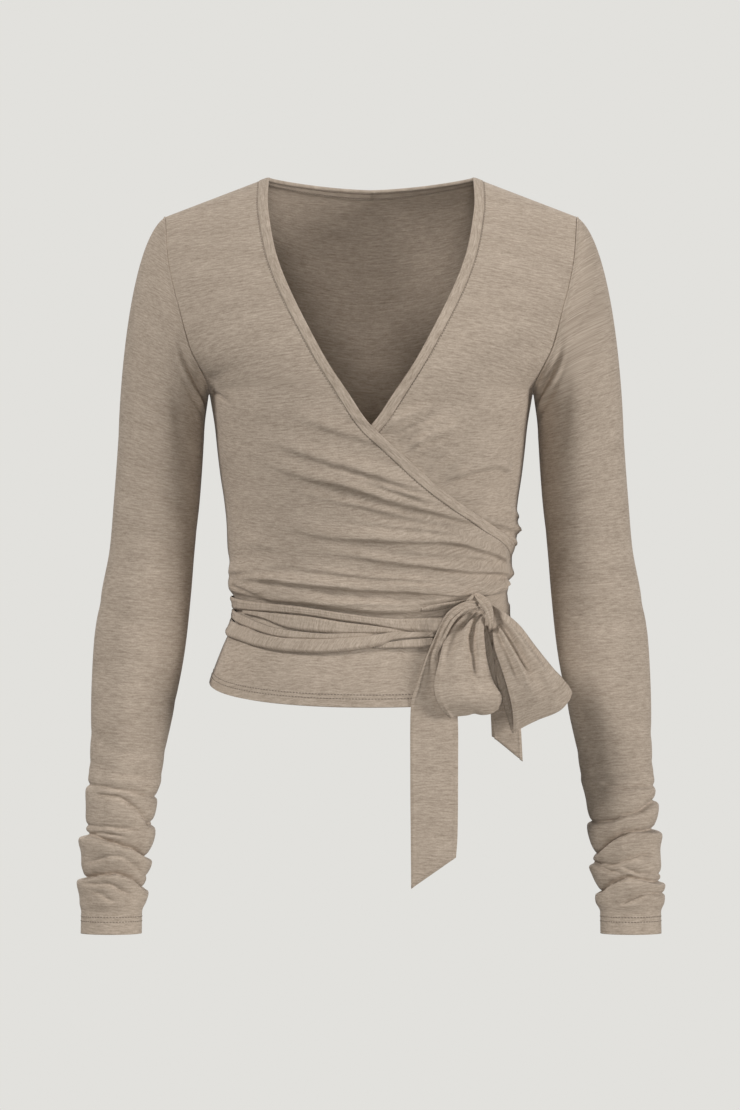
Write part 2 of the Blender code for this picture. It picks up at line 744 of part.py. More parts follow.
def make_front_under(collection, rows):
    turn, z = front_grid(rows, UNDER_COLUMNS)
    lift = under_lift(math.pi - turn, z)
    points = torso(turn, z) + outward(turn, z) * lift[..., None]
    points = settle_on_crest(points)
    points[:, 0, 1] = np.minimum(points[:, 0, 1], -SEAM_GAP / 2)
    return sheet("front_under", mirrored(seam_row(points, -1)), collection)


def make_binding_under(collection, rows):
    turn, z = band_grid(rows, 1)
    lift = under_lift(math.pi - turn, z)
    points = torso(turn, z) + outward(turn, z) * lift[..., None]
    points = settle_on_crest(points)
    return sheet("binding_under", mirrored(seam_row(points, -1)), collection)


def back_neck_edge(place):
    """x and z of the back neck's free edge, place running from -1 to 1."""
    return NECK_X * place, NECK_BACK_Z + (NECK_Z - NECK_BACK_Z) * np.abs(place) ** NECK_CURVE


def back_neck_seam(place):
    """x and z of the seam below the back neck's band."""
    x = (NECK_X + BAND_WIDTH) * place
    low = NECK_BACK_Z - BAND_WIDTH
    return x, low + (crest(NECK_X + BAND_WIDTH) - low) * np.abs(place) ** NECK_CURVE


def back_turn(x, z):
    """Turn of the back's point at x."""
    return 2 * math.pi - turn_at(x, z)


def make_back(collection):
    neck_places = np.linspace(1, -1, BACK_NECK_COLUMNS + 1)
    neck_x, neck_z = back_neck_seam(neck_places)
    neck_z = neck_z - SEAM_GAP * (1 - np.abs(neck_places))
    arm_x = smooth(1.0, ARMHOLE["z"], ARMHOLE["x"])
    out_x = np.linspace(arm_x, neck_x[0] + SEAM_GAP, BACK_SHOULDER_COLUMNS + 1)
    top_x = np.concatenate([out_x, neck_x[1:-1], -out_x[::-1]])
    top_z = np.concatenate([crest(out_x), neck_z[1:-1], crest(out_x[::-1])])
    top_turn = back_turn(top_x, top_z)

    share = upper_shares()[:, None]
    hole_x, hole_z = armhole_points(share)
    start = back_turn(hole_x, hole_z)
    place = (top_turn - top_turn[0]) / (top_turn[-1] - top_turn[0])
    turn = start + (3 * math.pi - 2 * start) * place
    base = BACK_ROWS["z"][0]
    z = base + (top_z - base) * share
    ends = np.array([0, -1])
    z[:, ends] = hole_z

    starts = np.concatenate([[0], np.cumsum(BACK_ROWS["rows"])])
    count = int(starts[-1]) + 1
    level = np.interp(np.arange(count), starts[:-1], BACK_ROWS["z"])[:, None]
    to_hem = np.clip((np.arange(count) - starts[-2]) / BACK_ROWS["rows"][-1], 0, 1)[:, None]
    low_turn = math.pi * (1 + place) * np.ones((count, 1))
    low_z = drop_to_hem(low_turn, level * np.ones(place.size), to_hem)
    turn, z = np.concatenate([turn, low_turn]), np.concatenate([z, low_z])
    points = torso(turn, z)
    points[0, :, 2] = top_z
    points[0, :, 0] = top_x
    points[1:, :, 1] = np.maximum(points[1:, :, 1], SEAM_GAP / 2)
    on_shoulder = np.abs(top_x) > neck_x[0]
    points[0, on_shoulder, 1] = SHOULDER_GAP
    return sheet("back", points, collection)


def make_neckband_back(collection):
    place = np.linspace(1, -1, BACK_NECK_COLUMNS + 1)[None, :]
    edge_x, edge_z = back_neck_edge(place)
    seam_x, seam_z = back_neck_seam(place)
    share = np.linspace(0, 1, 3)[:, None]
    x = edge_x + (seam_x - edge_x) * share
    z = edge_z + (seam_z - edge_z) * share
    points = torso(back_turn(x, z), z)
    points[:, [0, -1], 1] = SHOULDER_GAP
    return sheet("neckband_back", points, collection)


# ---------------------------------------------------------------- sleeves
def creases(table_of_creases, across, z, back):
    """Depth of a wrist's creases. across runs from 0 at the outer side to 1 at the inner side."""
    depth = np.zeros(np.broadcast(across, z).shape)
    for outer, middle, inner, start, end, deep in zip(*table_of_creases.values()):
        line = smooth(across, np.array([0, 0.5, 1]), np.array([outer, middle, inner]))
        line = line - BACK_CREASE_SHIFT * back * np.sin(math.pi * across)
        fade_in = np.where(start > 0, smoothstep((across - start) / CREASE_FADE), 1)
        fade_out = np.where(end < 1, smoothstep((end - across) / CREASE_FADE), 1)
        depth += deep * fade_in * fade_out * np.exp(-np.abs((z - line) / CREASE_REACH) ** 1.5)
    return depth


def sleeve_ring(z, around, crease_table):
    """Points of the sleeve at height z. around is 0 at the outer side and a quarter at the front."""
    outer = smooth(z, SLEEVE["z"], SLEEVE["outer"])
    inner = smooth(z, SLEEVE["z"], SLEEVE["inner"])
    depth = smooth(z, SLEEVE["z"], SLEEVE["depth"])
    forward = smooth(z, SLEEVE["z"], SLEEVE["forward"])
    across = (1 - np.cos(around)) / 2
    back = np.where(np.sin(around) < 0, 1, 0)
    into_cuff = smoothstep((CUFF_TOP_Z - z) / CUFF_FADE)
    in_cuff = into_cuff * smoothstep((z - CUFF_FOLDS_END_Z) / CUFF_FADE + 1)
    swell = in_cuff * (CUFF_PUFF - creases(crease_table, across, z, back))
    half = (outer - inner) / 2
    x = (outer + inner) / 2 + (half + swell) * np.cos(around)
    y = -forward - (depth + swell) * np.sin(around)
    return np.stack(np.broadcast_arrays(-x, y, z), axis=-1)


def armhole_loop(around):
    """Points of the right armhole, from the shoulder point down the front and up the back."""
    share = (1 + np.cos(around)) / 2
    x, z = armhole_points(share)
    front = torso(turn_at(-x, z), z)
    back = torso(2 * math.pi - turn_at(-x, z), z)
    return np.where(np.sin(around)[:, None] >= 0, front, back)


def sleeve_grid(crease_table):
    """Rings of the right sleeve, from the armhole to the cuff."""
    around = np.arange(SLEEVE_COLUMNS) * 2 * math.pi / SLEEVE_COLUMNS
    top = ((1 + np.cos(around)) / 2)[:, None]
    start = armhole_loop(around) + np.array([-SEAM_GAP, 0, 0]) * (1 + top)
    top_z = SLEEVE["z"][0]
    end = sleeve_ring(np.full(around.shape, top_z), around, crease_table)
    leave = top * np.array(CAP_LEAVES_TOP) + (1 - top) * np.array(CAP_LEAVES_UNDERARM)
    leave[:, 0] -= CAP_SWELL_OUT * np.sin(around) ** 2
    leave[:, 1] += CAP_SWELL_DEEP * np.sin(around)
    arrive = np.array(CAP_ARRIVES) * (top + CAP_ARRIVES_UNDERARM * (1 - top))
    t = (np.arange(CAP_RINGS) / CAP_RINGS)[:, None, None]
    cap = (
        (2 * t ** 3 - 3 * t ** 2 + 1) * start
        + (t ** 3 - 2 * t ** 2 + t) * leave
        + (3 * t ** 2 - 2 * t ** 3) * end
        + (t ** 3 - t ** 2) * arrive
    )
    fold_rings = int(round((CUFF_TOP_Z - CUFF_FOLDS_END_Z) / CUFF_FOLD_STEP))
    heights = np.concatenate([
        np.linspace(top_z, CUFF_TOP_Z, UPPER_ARM_RINGS + 1)[:-1],
        np.linspace(CUFF_TOP_Z, CUFF_FOLDS_END_Z, fold_rings + 1),
        [(CUFF_FOLDS_END_Z + CUFF_Z) / 2, CUFF_Z],
    ])
    arm = sleeve_ring(heights[:, None], around[None, :], crease_table)
    return np.concatenate([cap, arm])


def make_sleeves(collection):
    right = sleeve_grid(RIGHT_CUFF_CREASES)
    left = sleeve_grid(LEFT_CUFF_CREASES)
    sheet("sleeve_right", right, collection, closed=True)
    sheet("sleeve_left", mirrored(left), collection, closed=True)


# ---------------------------------------------------------------- tie and bow
def tie_grid(places, upper, lower, puff, lift):
    """A stretch of the tie on the skin, at the turns in places, lifted off it by lift(turn, z)."""
    count = max(2, int(round((places[-1] - places[0]) / TIE_COLUMN_STEP)))
    turn = np.linspace(places[0], places[-1], count + 1)[None, :]
    high, low = smooth(turn, places, upper), smooth(turn, places, lower)
    across = np.linspace(0, 1, TIE_ROWS + 1)[:, None]
    z = high + (low - high) * across
    arch = smooth(turn, places, puff) * (1 - (2 * across - 1) ** 2)
    out = lift(turn, z) + TIE_GAP + TIE_WALL + arch
    return torso(turn, z) + outward(turn, z) * out[..., None]


def make_tie(collection):
    def over_front(turn, z):
        return over_lift(turn, z) + front_folds(turn, z)

    def over_back(turn, z):
        return np.zeros(np.broadcast(turn, z).shape)

    for name, stretch in TIE_FRONT_STRETCHES.items():
        middle = (stretch["upper"] + stretch["lower"]) / 2
        places = turn_at(stretch["x"], middle)
        points = tie_grid(places, stretch["upper"], stretch["lower"], stretch["puff"], over_front)
        sheet(name, nudge_from_side(points, -1), collection, wall=TIE_WALL)
    for name, stretch in TIE_BACK_STRETCHES.items():
        points = tie_grid(stretch["turn"], stretch["upper"], stretch["lower"], stretch["puff"], over_back)
        sheet(name, nudge_from_side(points, 1), collection, wall=TIE_WALL)


def through(rows, steps):
    """Smooth curve through the rows of an array, with steps points for each row."""
    count = len(rows)
    at = np.arange((count - 1) * steps + 1) / steps
    return np.stack([catmull(at, rows[:, k]) for k in range(rows.shape[1])], axis=-1)


def catmull(at, values):
    """Catmull-Rom curve through values at 0, 1, 2, ..."""
    padded = np.concatenate([[2 * values[0] - values[1]], values, [2 * values[-1] - values[-2]]])
    cell = np.clip(at.astype(int), 0, len(values) - 2)
    t = at - cell
    a, b, c, d = (padded[cell + k] for k in range(4))
    return b + 0.5 * t * (c - a + t * (2 * a - 5 * b + 4 * c - d + t * (3 * (b - c) + d - a)))


def ribbon(name, edges, collection):
    """A ribbon between two edge curves, its middle standing out by the arch."""
    left = through(np.column_stack([edges["left_x"], edges["left_y"], edges["left_z"]]), RIBBON_STEPS)
    right = through(np.column_stack([edges["right_x"], edges["right_y"], edges["right_z"]]), RIBBON_STEPS)
    arch = through(edges["arch"][:, None], RIBBON_STEPS)
    share = np.linspace(0, 1, RIBBON_COLUMNS + 1)[None, :, None]
    points = left[:, None] + (right - left)[:, None] * share
    along = np.gradient(points, axis=0)
    normal = np.cross((right - left)[:, None] * np.ones_like(points), along)
    normal /= np.linalg.norm(normal, axis=-1, keepdims=True)
    points = points - normal * arch[:, None] * (1 - (2 * share - 1) ** 2)
    sheet(name, points, collection, wall=TIE_WALL)


def make_bow(collection):
    ribbon("bow_end_long", BOW_END_LONG, collection)
    ribbon("bow_end_short", BOW_END_SHORT, collection)
    ribbon("bow_loop_right", BOW_LOOP_RIGHT, collection)
    ribbon("bow_loop_left", BOW_LOOP_LEFT, collection)
    angle = np.arange(KNOT_SEGMENTS) * 2 * math.pi / KNOT_SEGMENTS
    across = np.linspace(-0.5, 0.5, KNOT_COLUMNS + 1)[:, None]
    lean = (1 - np.cos(angle)) / 2
    x = KNOT_TOP_X + (KNOT_BOTTOM_X - KNOT_TOP_X) * lean + KNOT_WIDTH * across
    y = KNOT_CENTRE_Y - KNOT_HALF_DEPTH * np.sin(angle) * np.ones_like(across)
    z = KNOT_CENTRE_Z + KNOT_HALF_HEIGHT * np.cos(angle) * np.ones_like(across)
    sheet("bow_knot", np.stack([x, y, z], axis=-1), collection, wall=TIE_WALL, closed=True)


def main():
    for old in list(bpy.data.objects):
        bpy.data.objects.remove(old, do_unlink=True)
    collection = bpy.data.collections.new(PART_NAME)
    bpy.context.scene.collection.children.link(collection)
    over_rows = front_rows(OVER_ROWS, "over")
    make_front_over(collection, over_rows)
    make_binding_over(collection, over_rows)
    under_rows = front_rows(UNDER_ROWS, "under")
    make_front_under(collection, under_rows)
    make_binding_under(collection, under_rows)
    make_back(collection)
    make_neckband_back(collection)
    make_sleeves(collection)
    make_tie(collection)
    make_bow(collection)


main()
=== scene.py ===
# %% [markdown]
# # A wrap top in a fine heather jersey
# The top is filled out as if someone wore it, with nobody in it. Its right front lies over its left
# front, a long tie goes round the waist and ends in a bow, and the sleeves are pushed up at the
# wrists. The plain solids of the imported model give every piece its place. Here each one gets the
# cloth that it stands for: finer surfaces with folds, seams and stitches, and a heather material.

# %% Load the frame
import math

import bpy
import numpy as np
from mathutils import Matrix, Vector


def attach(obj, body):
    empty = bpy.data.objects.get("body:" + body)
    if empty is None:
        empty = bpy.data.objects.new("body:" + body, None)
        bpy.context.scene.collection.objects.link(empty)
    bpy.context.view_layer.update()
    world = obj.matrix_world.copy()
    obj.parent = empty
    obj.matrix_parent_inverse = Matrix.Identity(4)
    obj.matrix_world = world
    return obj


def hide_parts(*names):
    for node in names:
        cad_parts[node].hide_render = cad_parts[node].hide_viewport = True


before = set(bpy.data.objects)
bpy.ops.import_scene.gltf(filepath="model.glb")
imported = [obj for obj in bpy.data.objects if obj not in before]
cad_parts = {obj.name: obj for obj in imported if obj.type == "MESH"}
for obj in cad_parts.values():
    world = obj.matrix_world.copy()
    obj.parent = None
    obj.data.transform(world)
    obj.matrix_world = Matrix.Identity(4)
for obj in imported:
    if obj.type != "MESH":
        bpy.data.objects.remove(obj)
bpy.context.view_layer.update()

# %% [markdown]
# ## Units and curves
# A maker thinks in millimetres, so sizes and tables are in millimetres, and MM turns them into
# metres as a mesh is made. A table is a few rows under named columns. The curve between its rows
# could be a Bezier, but a cubic with matched slopes never swings past its rows, which keeps cloth
# from bulging between them.

# %% Tables and smooth curves
MM = 0.001


def table(columns, *rows):
    """Rows of numbers under named columns, as a dictionary of arrays."""
    return dict(zip(columns.split(), np.array(rows, dtype=float).T))


def smooth(at, xs, ys):
    """Cubic curve through the points (xs, ys), with no overshoot, held level past both ends."""
    order = np.argsort(xs)
    xs, ys = np.asarray(xs)[order], np.asarray(ys)[order]
    steps = np.diff(xs)
    rises = np.diff(ys) / steps
    slopes = np.zeros(len(ys))
    product, total = rises[1:] * rises[:-1], rises[1:] + rises[:-1]
    same_way = product > 0
    slopes[1:-1][same_way] = 2 * product[same_way] / total[same_way]
    slopes[0], slopes[-1] = rises[0], rises[-1]
    cell = np.clip(np.searchsorted(xs, at) - 1, 0, len(xs) - 2)
    t = np.clip((at - xs[cell]) / steps[cell], 0, 1)
    start = (1 + 2 * t) * (1 - t) ** 2 * ys[cell] + t * (1 - t) ** 2 * steps[cell] * slopes[cell]
    end = t * t * (3 - 2 * t) * ys[cell + 1] + t * t * (t - 1) * steps[cell] * slopes[cell + 1]
    return start + end


def read(rows, column, at):
    """The smooth curve through a named column of a table, against the table's first column."""
    return smooth(at, rows[next(iter(rows))], rows[column])


def smoothstep(value):
    """0 below 0, 1 above 1, and a soft S between: v v (3 - 2 v)."""
    value = np.clip(value, 0, 1)
    return value * value * (3 - 2 * value)


print("smoothstep at a quarter:", float(smoothstep(0.25)))

# %% [markdown]
# ## Shader maths as Python
# A heather is a sum of several noises. Written with Math nodes one at a time it is hard to read, so
# one small class wraps a shader socket and lets Python's own operators add the nodes.

# %% A socket that can be added and multiplied
class Signal:
    """A number that changes over a surface. Each operator adds one Math node."""

    def __init__(self, finish, socket):
        self.finish, self.socket = finish, socket

    def combined(self, operation, first, second):
        return self.finish.node("Math", {"operation": operation}, {0: first, 1: second})

    def __add__(self, other):
        return self.combined("ADD", self, other)

    __radd__ = __add__

    def __sub__(self, other):
        return self.combined("SUBTRACT", self, other)

    def __mul__(self, other):
        return self.combined("MULTIPLY", self, other)

    __rmul__ = __mul__


class Finish:
    """A material on its way: node() adds any node, feed() sets or links one socket."""

    def __init__(self, name):
        self.material = bpy.data.materials.new(name)
        self.material.use_nodes = True
        self.tree = self.material.node_tree
        self.shader = self.tree.nodes["Principled BSDF"]

    def feed(self, socket, value):
        if isinstance(value, Signal):
            self.tree.links.new(value.socket, socket)
        else:
            socket.default_value = value

    def node(self, kind, settings, sockets, output=0):
        made = self.tree.nodes.new("ShaderNode" + kind)
        for name, value in settings.items():
            setattr(made, name, value)
        for name, value in sockets.items():
            self.feed(made.inputs[name], value)
        return Signal(self, made.outputs[output])

    def surface(self, **values):
        for name, value in values.items():
            self.feed(self.shader.inputs[name.replace("_", " ")], value)


print("shader helper ready")

# %% [markdown]
# ## Heather jersey
# The yarn is spun from a light and a dark fibre, so the cloth shows short dark and light streaks
# along its courses, finer specks, and broad soft clouds. An image would repeat, so the streaks are
# noises stretched along the courses. They read a UV map that holds real metres on the cloth, across
# in U and down in V, so that the streaks follow each piece as it was cut. The fibres also give a
# soft sheen, and the knit lifts the surface by a fraction of a millimetre, which is bump and not
# colour.

# %% The jersey
LIGHT_FIBRE = (0.556, 0.462, 0.372, 1.0)
DARK_FIBRE = (0.238, 0.185, 0.138, 1.0)
# Cells to a metre across and down the cloth, and detail, of the streaks, ticks, specks and clouds.
NOISES = ((50, 700, 2.0), (130, 640, 1.0), (520, 900, 1.0), (14, 60, 3.0))
KNIT_STRENGTH, KNIT_DEPTH = 0.25, 0.0004


def noise(finish, place, across, down, detail):
    """Noise with so many cells to a metre of cloth, about 0 and mostly within 1."""
    spot = finish.node("Mapping", {}, {"Vector": place, "Scale": (across, down, 1.0)})
    grain = finish.node("TexNoise", {}, {"Vector": spot, "Scale": 1.0, "Detail": detail})
    return (grain - 0.5) * 4


def jersey(name, shade=1.0):
    """Heather jersey. shade darkens or lightens both fibres alike."""
    finish = Finish(name)
    place = finish.node("UVMap", {"uv_map": "cloth"}, {})
    streaks, ticks, specks, clouds = (noise(finish, place, *row) for row in NOISES)
    blend = 0.5 + 0.15 * streaks + 0.20 * ticks + 0.14 * specks + 0.10 * clouds
    dark = tuple(shade * part for part in DARK_FIBRE[:3]) + (1.0,)
    light = tuple(shade * part for part in LIGHT_FIBRE[:3]) + (1.0,)
    mix = {"data_type": "RGBA", "clamp_factor": True}
    colour = finish.node("Mix", mix, {"Factor": blend, 6: dark, 7: light}, 2)
    relief = 0.5 * ticks + 0.4 * specks + 0.3 * streaks
    bump = {"Strength": KNIT_STRENGTH, "Distance": KNIT_DEPTH, "Height": relief}
    normal = finish.node("Bump", {}, bump)
    finish.surface(Base_Color=colour, Normal=normal, Roughness=0.88, Metallic=0.0)
    finish.surface(Sheen_Weight=0.06, Sheen_Roughness=0.45, Specular_IOR_Level=0.25)
    return finish.material


cloth = jersey("heather_jersey")
tie_cloth = jersey("heather_jersey_tie")
# Half as bright as the cloth: partly the thread's own darker colour, partly painted shade that
# makes the stitch rows show as dark dots.
painted_shade_thread = jersey("sewing_thread_painted_shade", 0.5)
print("nodes in the jersey:", len(cloth.node_tree.nodes))

# %% [markdown]
# ## From a grid of points to a piece of cloth
# Every piece here is a function of two parameters, worked out for a whole grid at once. Modelling
# by hand or sculpting would do, but a grid keeps its courses even, so the UV map is simply the
# distances along it. A Solidify modifier then gives the cloth its thickness on the inner side.

# %% Grids, distances and pieces
CLOTH_THICKNESS, BAND_THICKNESS = 0.9, 1.4
TINY = 1e-9


def distances(points, axis):
    """Running distance along one axis of a grid of points, from 0."""
    steps = np.linalg.norm(np.diff(points, axis=axis), axis=-1)
    start = np.zeros_like(np.take(steps, [0], axis=axis))
    return np.concatenate([start, np.cumsum(steps, axis=axis)], axis=axis)


def unit(vectors):
    """The same vectors with length 1."""
    return vectors / np.maximum(np.linalg.norm(vectors, axis=-1, keepdims=True), TINY)


def closed_up(grid):
    """A grid that goes all round, with its first column once more after its last."""
    return np.concatenate([grid, grid[:, :1]], axis=1)


def cells(grid):
    """The four corners of each cell of a grid, going round it."""
    return np.stack([grid[:-1, :-1], grid[1:, :-1], grid[1:, 1:], grid[:-1, 1:]], axis=2)


def grid_normals(points, closed=False):
    """Outward unit normals of a grid whose rows run down and whose columns run left to right."""
    if closed:
        wrapped = np.concatenate([points[:, -1:], points, points[:, :1]], axis=1)
        across = np.gradient(wrapped, axis=1)[:, 1:-1]
    else:
        across = np.gradient(points, axis=1)
    return unit(np.cross(np.gradient(points, axis=0), across))


def linked(name, data):
    """A new object of the scene, at the origin and unturned."""
    made = bpy.data.objects.new(name, data)
    bpy.context.scene.collection.objects.link(made)
    return made


def textile(name, points, faces, uv, material):
    """An object of cloth or thread from points and UV corners in millimetres."""
    mesh = bpy.data.meshes.new(name)
    mesh.from_pydata((points.reshape(-1, 3) * MM).tolist(), [], faces.tolist())
    layer = mesh.uv_layers.new(name="cloth")
    layer.data.foreach_set("uv", (uv * MM).ravel().astype(np.float32))
    mesh.shade_smooth()
    mesh.materials.append(material)
    made = linked(name, mesh)
    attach(made, "root")
    return made


def piece(name, points, uv, node, material, thickness=CLOTH_THICKNESS, closed=False):
    """A named piece of cloth from a grid in mm; uv has one more column on a closed grid."""
    rows, columns = points.shape[:2]
    index = np.arange(rows * columns).reshape(rows, columns)
    faces = cells(closed_up(index) if closed else index).reshape(-1, 4)
    made = textile(name, points, faces, cells(uv), material)
    wall = made.modifiers.new("wall", "SOLIDIFY")
    wall.thickness = thickness * MM
    wall.offset = -1
    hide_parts(node)
    print(name, uv.shape[1], "x", rows, "points")
    return made


print("cloth", CLOTH_THICKNESS, "mm, turned bands", BAND_THICKNESS, "mm")

# %% [markdown]
# ## The skin of the torso
# The panels lie on one closed surface, so that they meet along their seams without measuring each
# one. A place on it is a turn and a height: 0 at the wearer's right side seam, a quarter at the
# middle of the front, a half at the left side and three quarters at the middle of the back. It
# could be lofted from drawn rings. A table of half widths and depths, with a slightly squared
# ellipse, says the same in numbers that a maker can measure on the top.

# %% Sections of the torso
SECTIONS = table(
    "z half_width front back",
    (60, 222, 100, 92), (0, 220, 104, 97), (-40, 216, 108, 101), (-85, 207, 113, 103),
    (-121, 185, 117, 103), (-150, 155, 118.5, 101), (-160, 147.5, 118.5, 100.5),
    (-170, 145.5, 118, 100), (-192, 142, 116.5, 98.5), (-214, 139.7, 114, 96.5),
    (-236, 137, 110, 94), (-257, 133.8, 105.5, 91.5), (-279, 131.5, 101, 89),
    (-301, 130.6, 96.5, 87), (-316, 128.3, 93.5, 85.5), (-324, 128, 92, 85),
    (-332, 130.2, 90.5, 84.5), (-338, 129.5, 89.5, 84), (-344, 125.5, 88, 83),
    (-352, 122.6, 86.5, 82), (-362, 122.8, 86, 82), (-372, 125.5, 87, 84), (-381, 130.6, 89, 87.5),
    (-397, 137.6, 93.5, 93), (-410, 142.6, 97, 97), (-422, 147, 100, 100), (-450, 151, 104, 102),
)
NECK_X, NECK_Z, SHOULDER_SLOPE = 93.0, 36.0, 0.383
# Rounds that a place found by repeating needs to settle.
REPEATS = 12
FRONT_SLOPE_DROP, FRONT_SLOPE_POWER = 200.0, 1.5
BACK_SLOPE_DROP, BACK_SLOPE_POWER = 150.0, 1.9
BOXY = 0.02


def crest(x):
    """Height of the shoulder line: a straight fall on each side of the neck."""
    return NECK_Z - SHOULDER_SLOPE * (np.abs(x) - NECK_X)


def slope_factor(drop, full_drop, power):
    """Share of the full depth at a drop below the shoulder: (1 - (1 - drop / full)^p)^(1/p)."""
    rest = 1 - np.clip(drop / full_drop, 0, 1)
    return (1 - rest ** power) ** (1 / power)


def skin_x(turn, z):
    """x = -w(z) (cos t - b cos 3t) / (1 - b)"""
    half_width = read(SECTIONS, "half_width", z)
    return -half_width * (np.cos(turn) - BOXY * np.cos(3 * turn)) / (1 - BOXY)


def skin(turn, z):
    """Points of the skin: y = -d(z) (sin t + b sin 3t) / (1 - b), less near the shoulder line."""
    x = skin_x(turn, z)
    side = (np.sin(turn) + BOXY * np.sin(3 * turn)) / (1 - BOXY)
    drop = crest(x) - z
    front = read(SECTIONS, "front", z) * slope_factor(drop, FRONT_SLOPE_DROP, FRONT_SLOPE_POWER)
    back = read(SECTIONS, "back", z) * slope_factor(drop, BACK_SLOPE_DROP, BACK_SLOPE_POWER)
    return np.stack(np.broadcast_arrays(x, -side * np.where(side > 0, front, back), z), axis=-1)


def outward(turn, z):
    """Unit normals of the skin, from its two slopes over a small turn and a small rise."""
    small, low = 0.01, 1.0
    along = skin(turn + small, z) - skin(turn - small, z)
    up = skin(turn, z + low) - skin(turn, z - low)
    normal = np.cross(along, up)
    return normal / np.linalg.norm(normal, axis=-1, keepdims=True)


def turn_at(x, z):
    """Turn of the front's point at x: cos t = ((1 - b) u + 4 b cos^3 t) / (1 + 3 b), repeated."""
    share = np.clip(-x / read(SECTIONS, "half_width", z), -1, 1)
    cosine = share
    for _ in range(REPEATS):
        cosine = ((1 - BOXY) * share + 4 * BOXY * cosine ** 3) / (1 + 3 * BOXY)
    return np.arccos(np.clip(cosine, -1, 1))


def turn_width(turn, z):
    """Millimetres round the skin for each radian of turn."""
    half_width, front = read(SECTIONS, "half_width", z), read(SECTIONS, "front", z)
    return np.hypot(half_width * np.sin(turn), front * np.cos(turn))


BUST_Z, WAIST_Z = -160.0, -352.0
for name, height in (("bust", BUST_Z), ("waist", WAIST_Z)):
    ring = skin(np.linspace(0, 2 * math.pi, 200), np.full(200, height))
    print(name, "of the skin, mm:", round(float(distances(ring, 0)[-1])))

# %% [markdown]
# ## Where the cut pieces end
# Each front is cut from its armhole and side seam to a long slanting wrap edge, which has a turned
# band. The right one goes on past the left side seam and narrows to the tie. The edges could be
# traced as curves in space, but on the skin each is just an x or a turn for every height.

# %% Armholes, wrap edges, bands and hem
UNDERARM_Z, ROW_START_Z = -160.0, -150.0
BAND_WIDTH, SEAM_GAP = 9.0, 0.2
# Rows crowd towards the shoulder by this power of their share of the height.
ROWS_POWER = 1.3
HEM_SIDE_Z, HEM_FRONT_DIP, HEM_BACK_DIP = -422.0, 22.0, 12.0
ARMHOLE = table(
    "z x",
    (1, 187), (-37, 184), (-67, 178), (-85, 173), (-108, 167), (-121, 163), (-137, 155.5),
    (-152, 148.7), (-160, 147.5),
)
WRAP_EDGE = table(
    "z x",
    (36, -93), (15, -93.7), (-9, -91), (-32, -86.5), (-52, -80), (-76, -69.6), (-106, -54.6),
    (-136, -38.2), (-164, -19.5), (-188, -3.2), (-214, 24.2), (-239, 51.6), (-256, 73),
    (-269, 91.5), (-279, 105.5), (-287, 117.4), (-294, 125),
)
EDGE_PAST_SIDE = table(
    "z over under",
    (-304, 0, -8), (-314, 9, -4.2), (-324, 15.5, -3.2), (-334, 18, -3), (-344, 15.5, -3),
    (-354, 8.5, -3), (-364, 1, -3), (-374, -2, -3), (-450, -2, -3),
)
# Where a front's rows run: from a height at the side seam to one at the wrap edge.
ROW_RUN = table(
    "share side edge",
    (0, -160, -150), (0.3, -254, -286), (0.48, -308, -328), (0.6, -344, -347), (0.66, -360, -361),
    (0.76, -384, -384), (1, -422, -422),
)


def hem_z(turn):
    """Height of the hem, lower at the front and the back than at the sides."""
    dip = np.where(np.sin(turn) > 0, HEM_FRONT_DIP, HEM_BACK_DIP)
    return HEM_SIDE_Z - dip * np.abs(np.sin(turn))


def edge_turn(z, front):
    """Turn of the free edge at each height, counted from the front's own side seam."""
    last_z = WRAP_EDGE["z"][-1]
    seen = turn_at(read(WRAP_EDGE, "x", z), z)
    heights = np.append(last_z, EDGE_PAST_SIDE["z"])
    past = math.pi + np.radians(EDGE_PAST_SIDE[front])
    turns = np.append(turn_at(WRAP_EDGE["x"][-1], last_z), past)
    return np.where(z > last_z, seen, smooth(z, heights, turns))


def inset(z, front, distance):
    """Turn and height of the place a distance in from the free edge at z, square to the edge."""
    small = 2.0
    turn = edge_turn(z, front)
    width = turn_width(turn, z)
    run = (edge_turn(z - small, front) - edge_turn(z + small, front)) * width
    length = np.hypot(run, 2 * small)
    return turn - distance * 2 * small / length / width, z - distance * run / length


def upper_inset(edge_x, edge_z, share, front, distance):
    """The same above the underarm's row, where the top row stays on the shoulder line."""
    turn, z = inset(edge_z, front, distance)
    x = skin_x(turn, z)
    x = edge_x - distance * share + (x - edge_x) * (1 - share)
    z = z + (crest(x) - (crest(edge_x) - edge_z) - z) * share ** 2
    return turn_at(x, z), z


def armhole_points(share):
    """x (positive) and z of the armhole at each share of its height."""
    z = np.full(np.shape(share), UNDERARM_Z)
    for _ in range(REPEATS):
        x = read(ARMHOLE, "x", z)
        z = UNDERARM_Z + (crest(x) - UNDERARM_Z) * share
    return x, z


def spread(count, pull=0.6):
    """Shares from 0 to 1, closer together near both ends: t - pull sin(2 pi t) / (2 pi)."""
    t = np.linspace(0, 1, count + 1)
    return t - pull * np.sin(2 * math.pi * t) / (2 * math.pi)


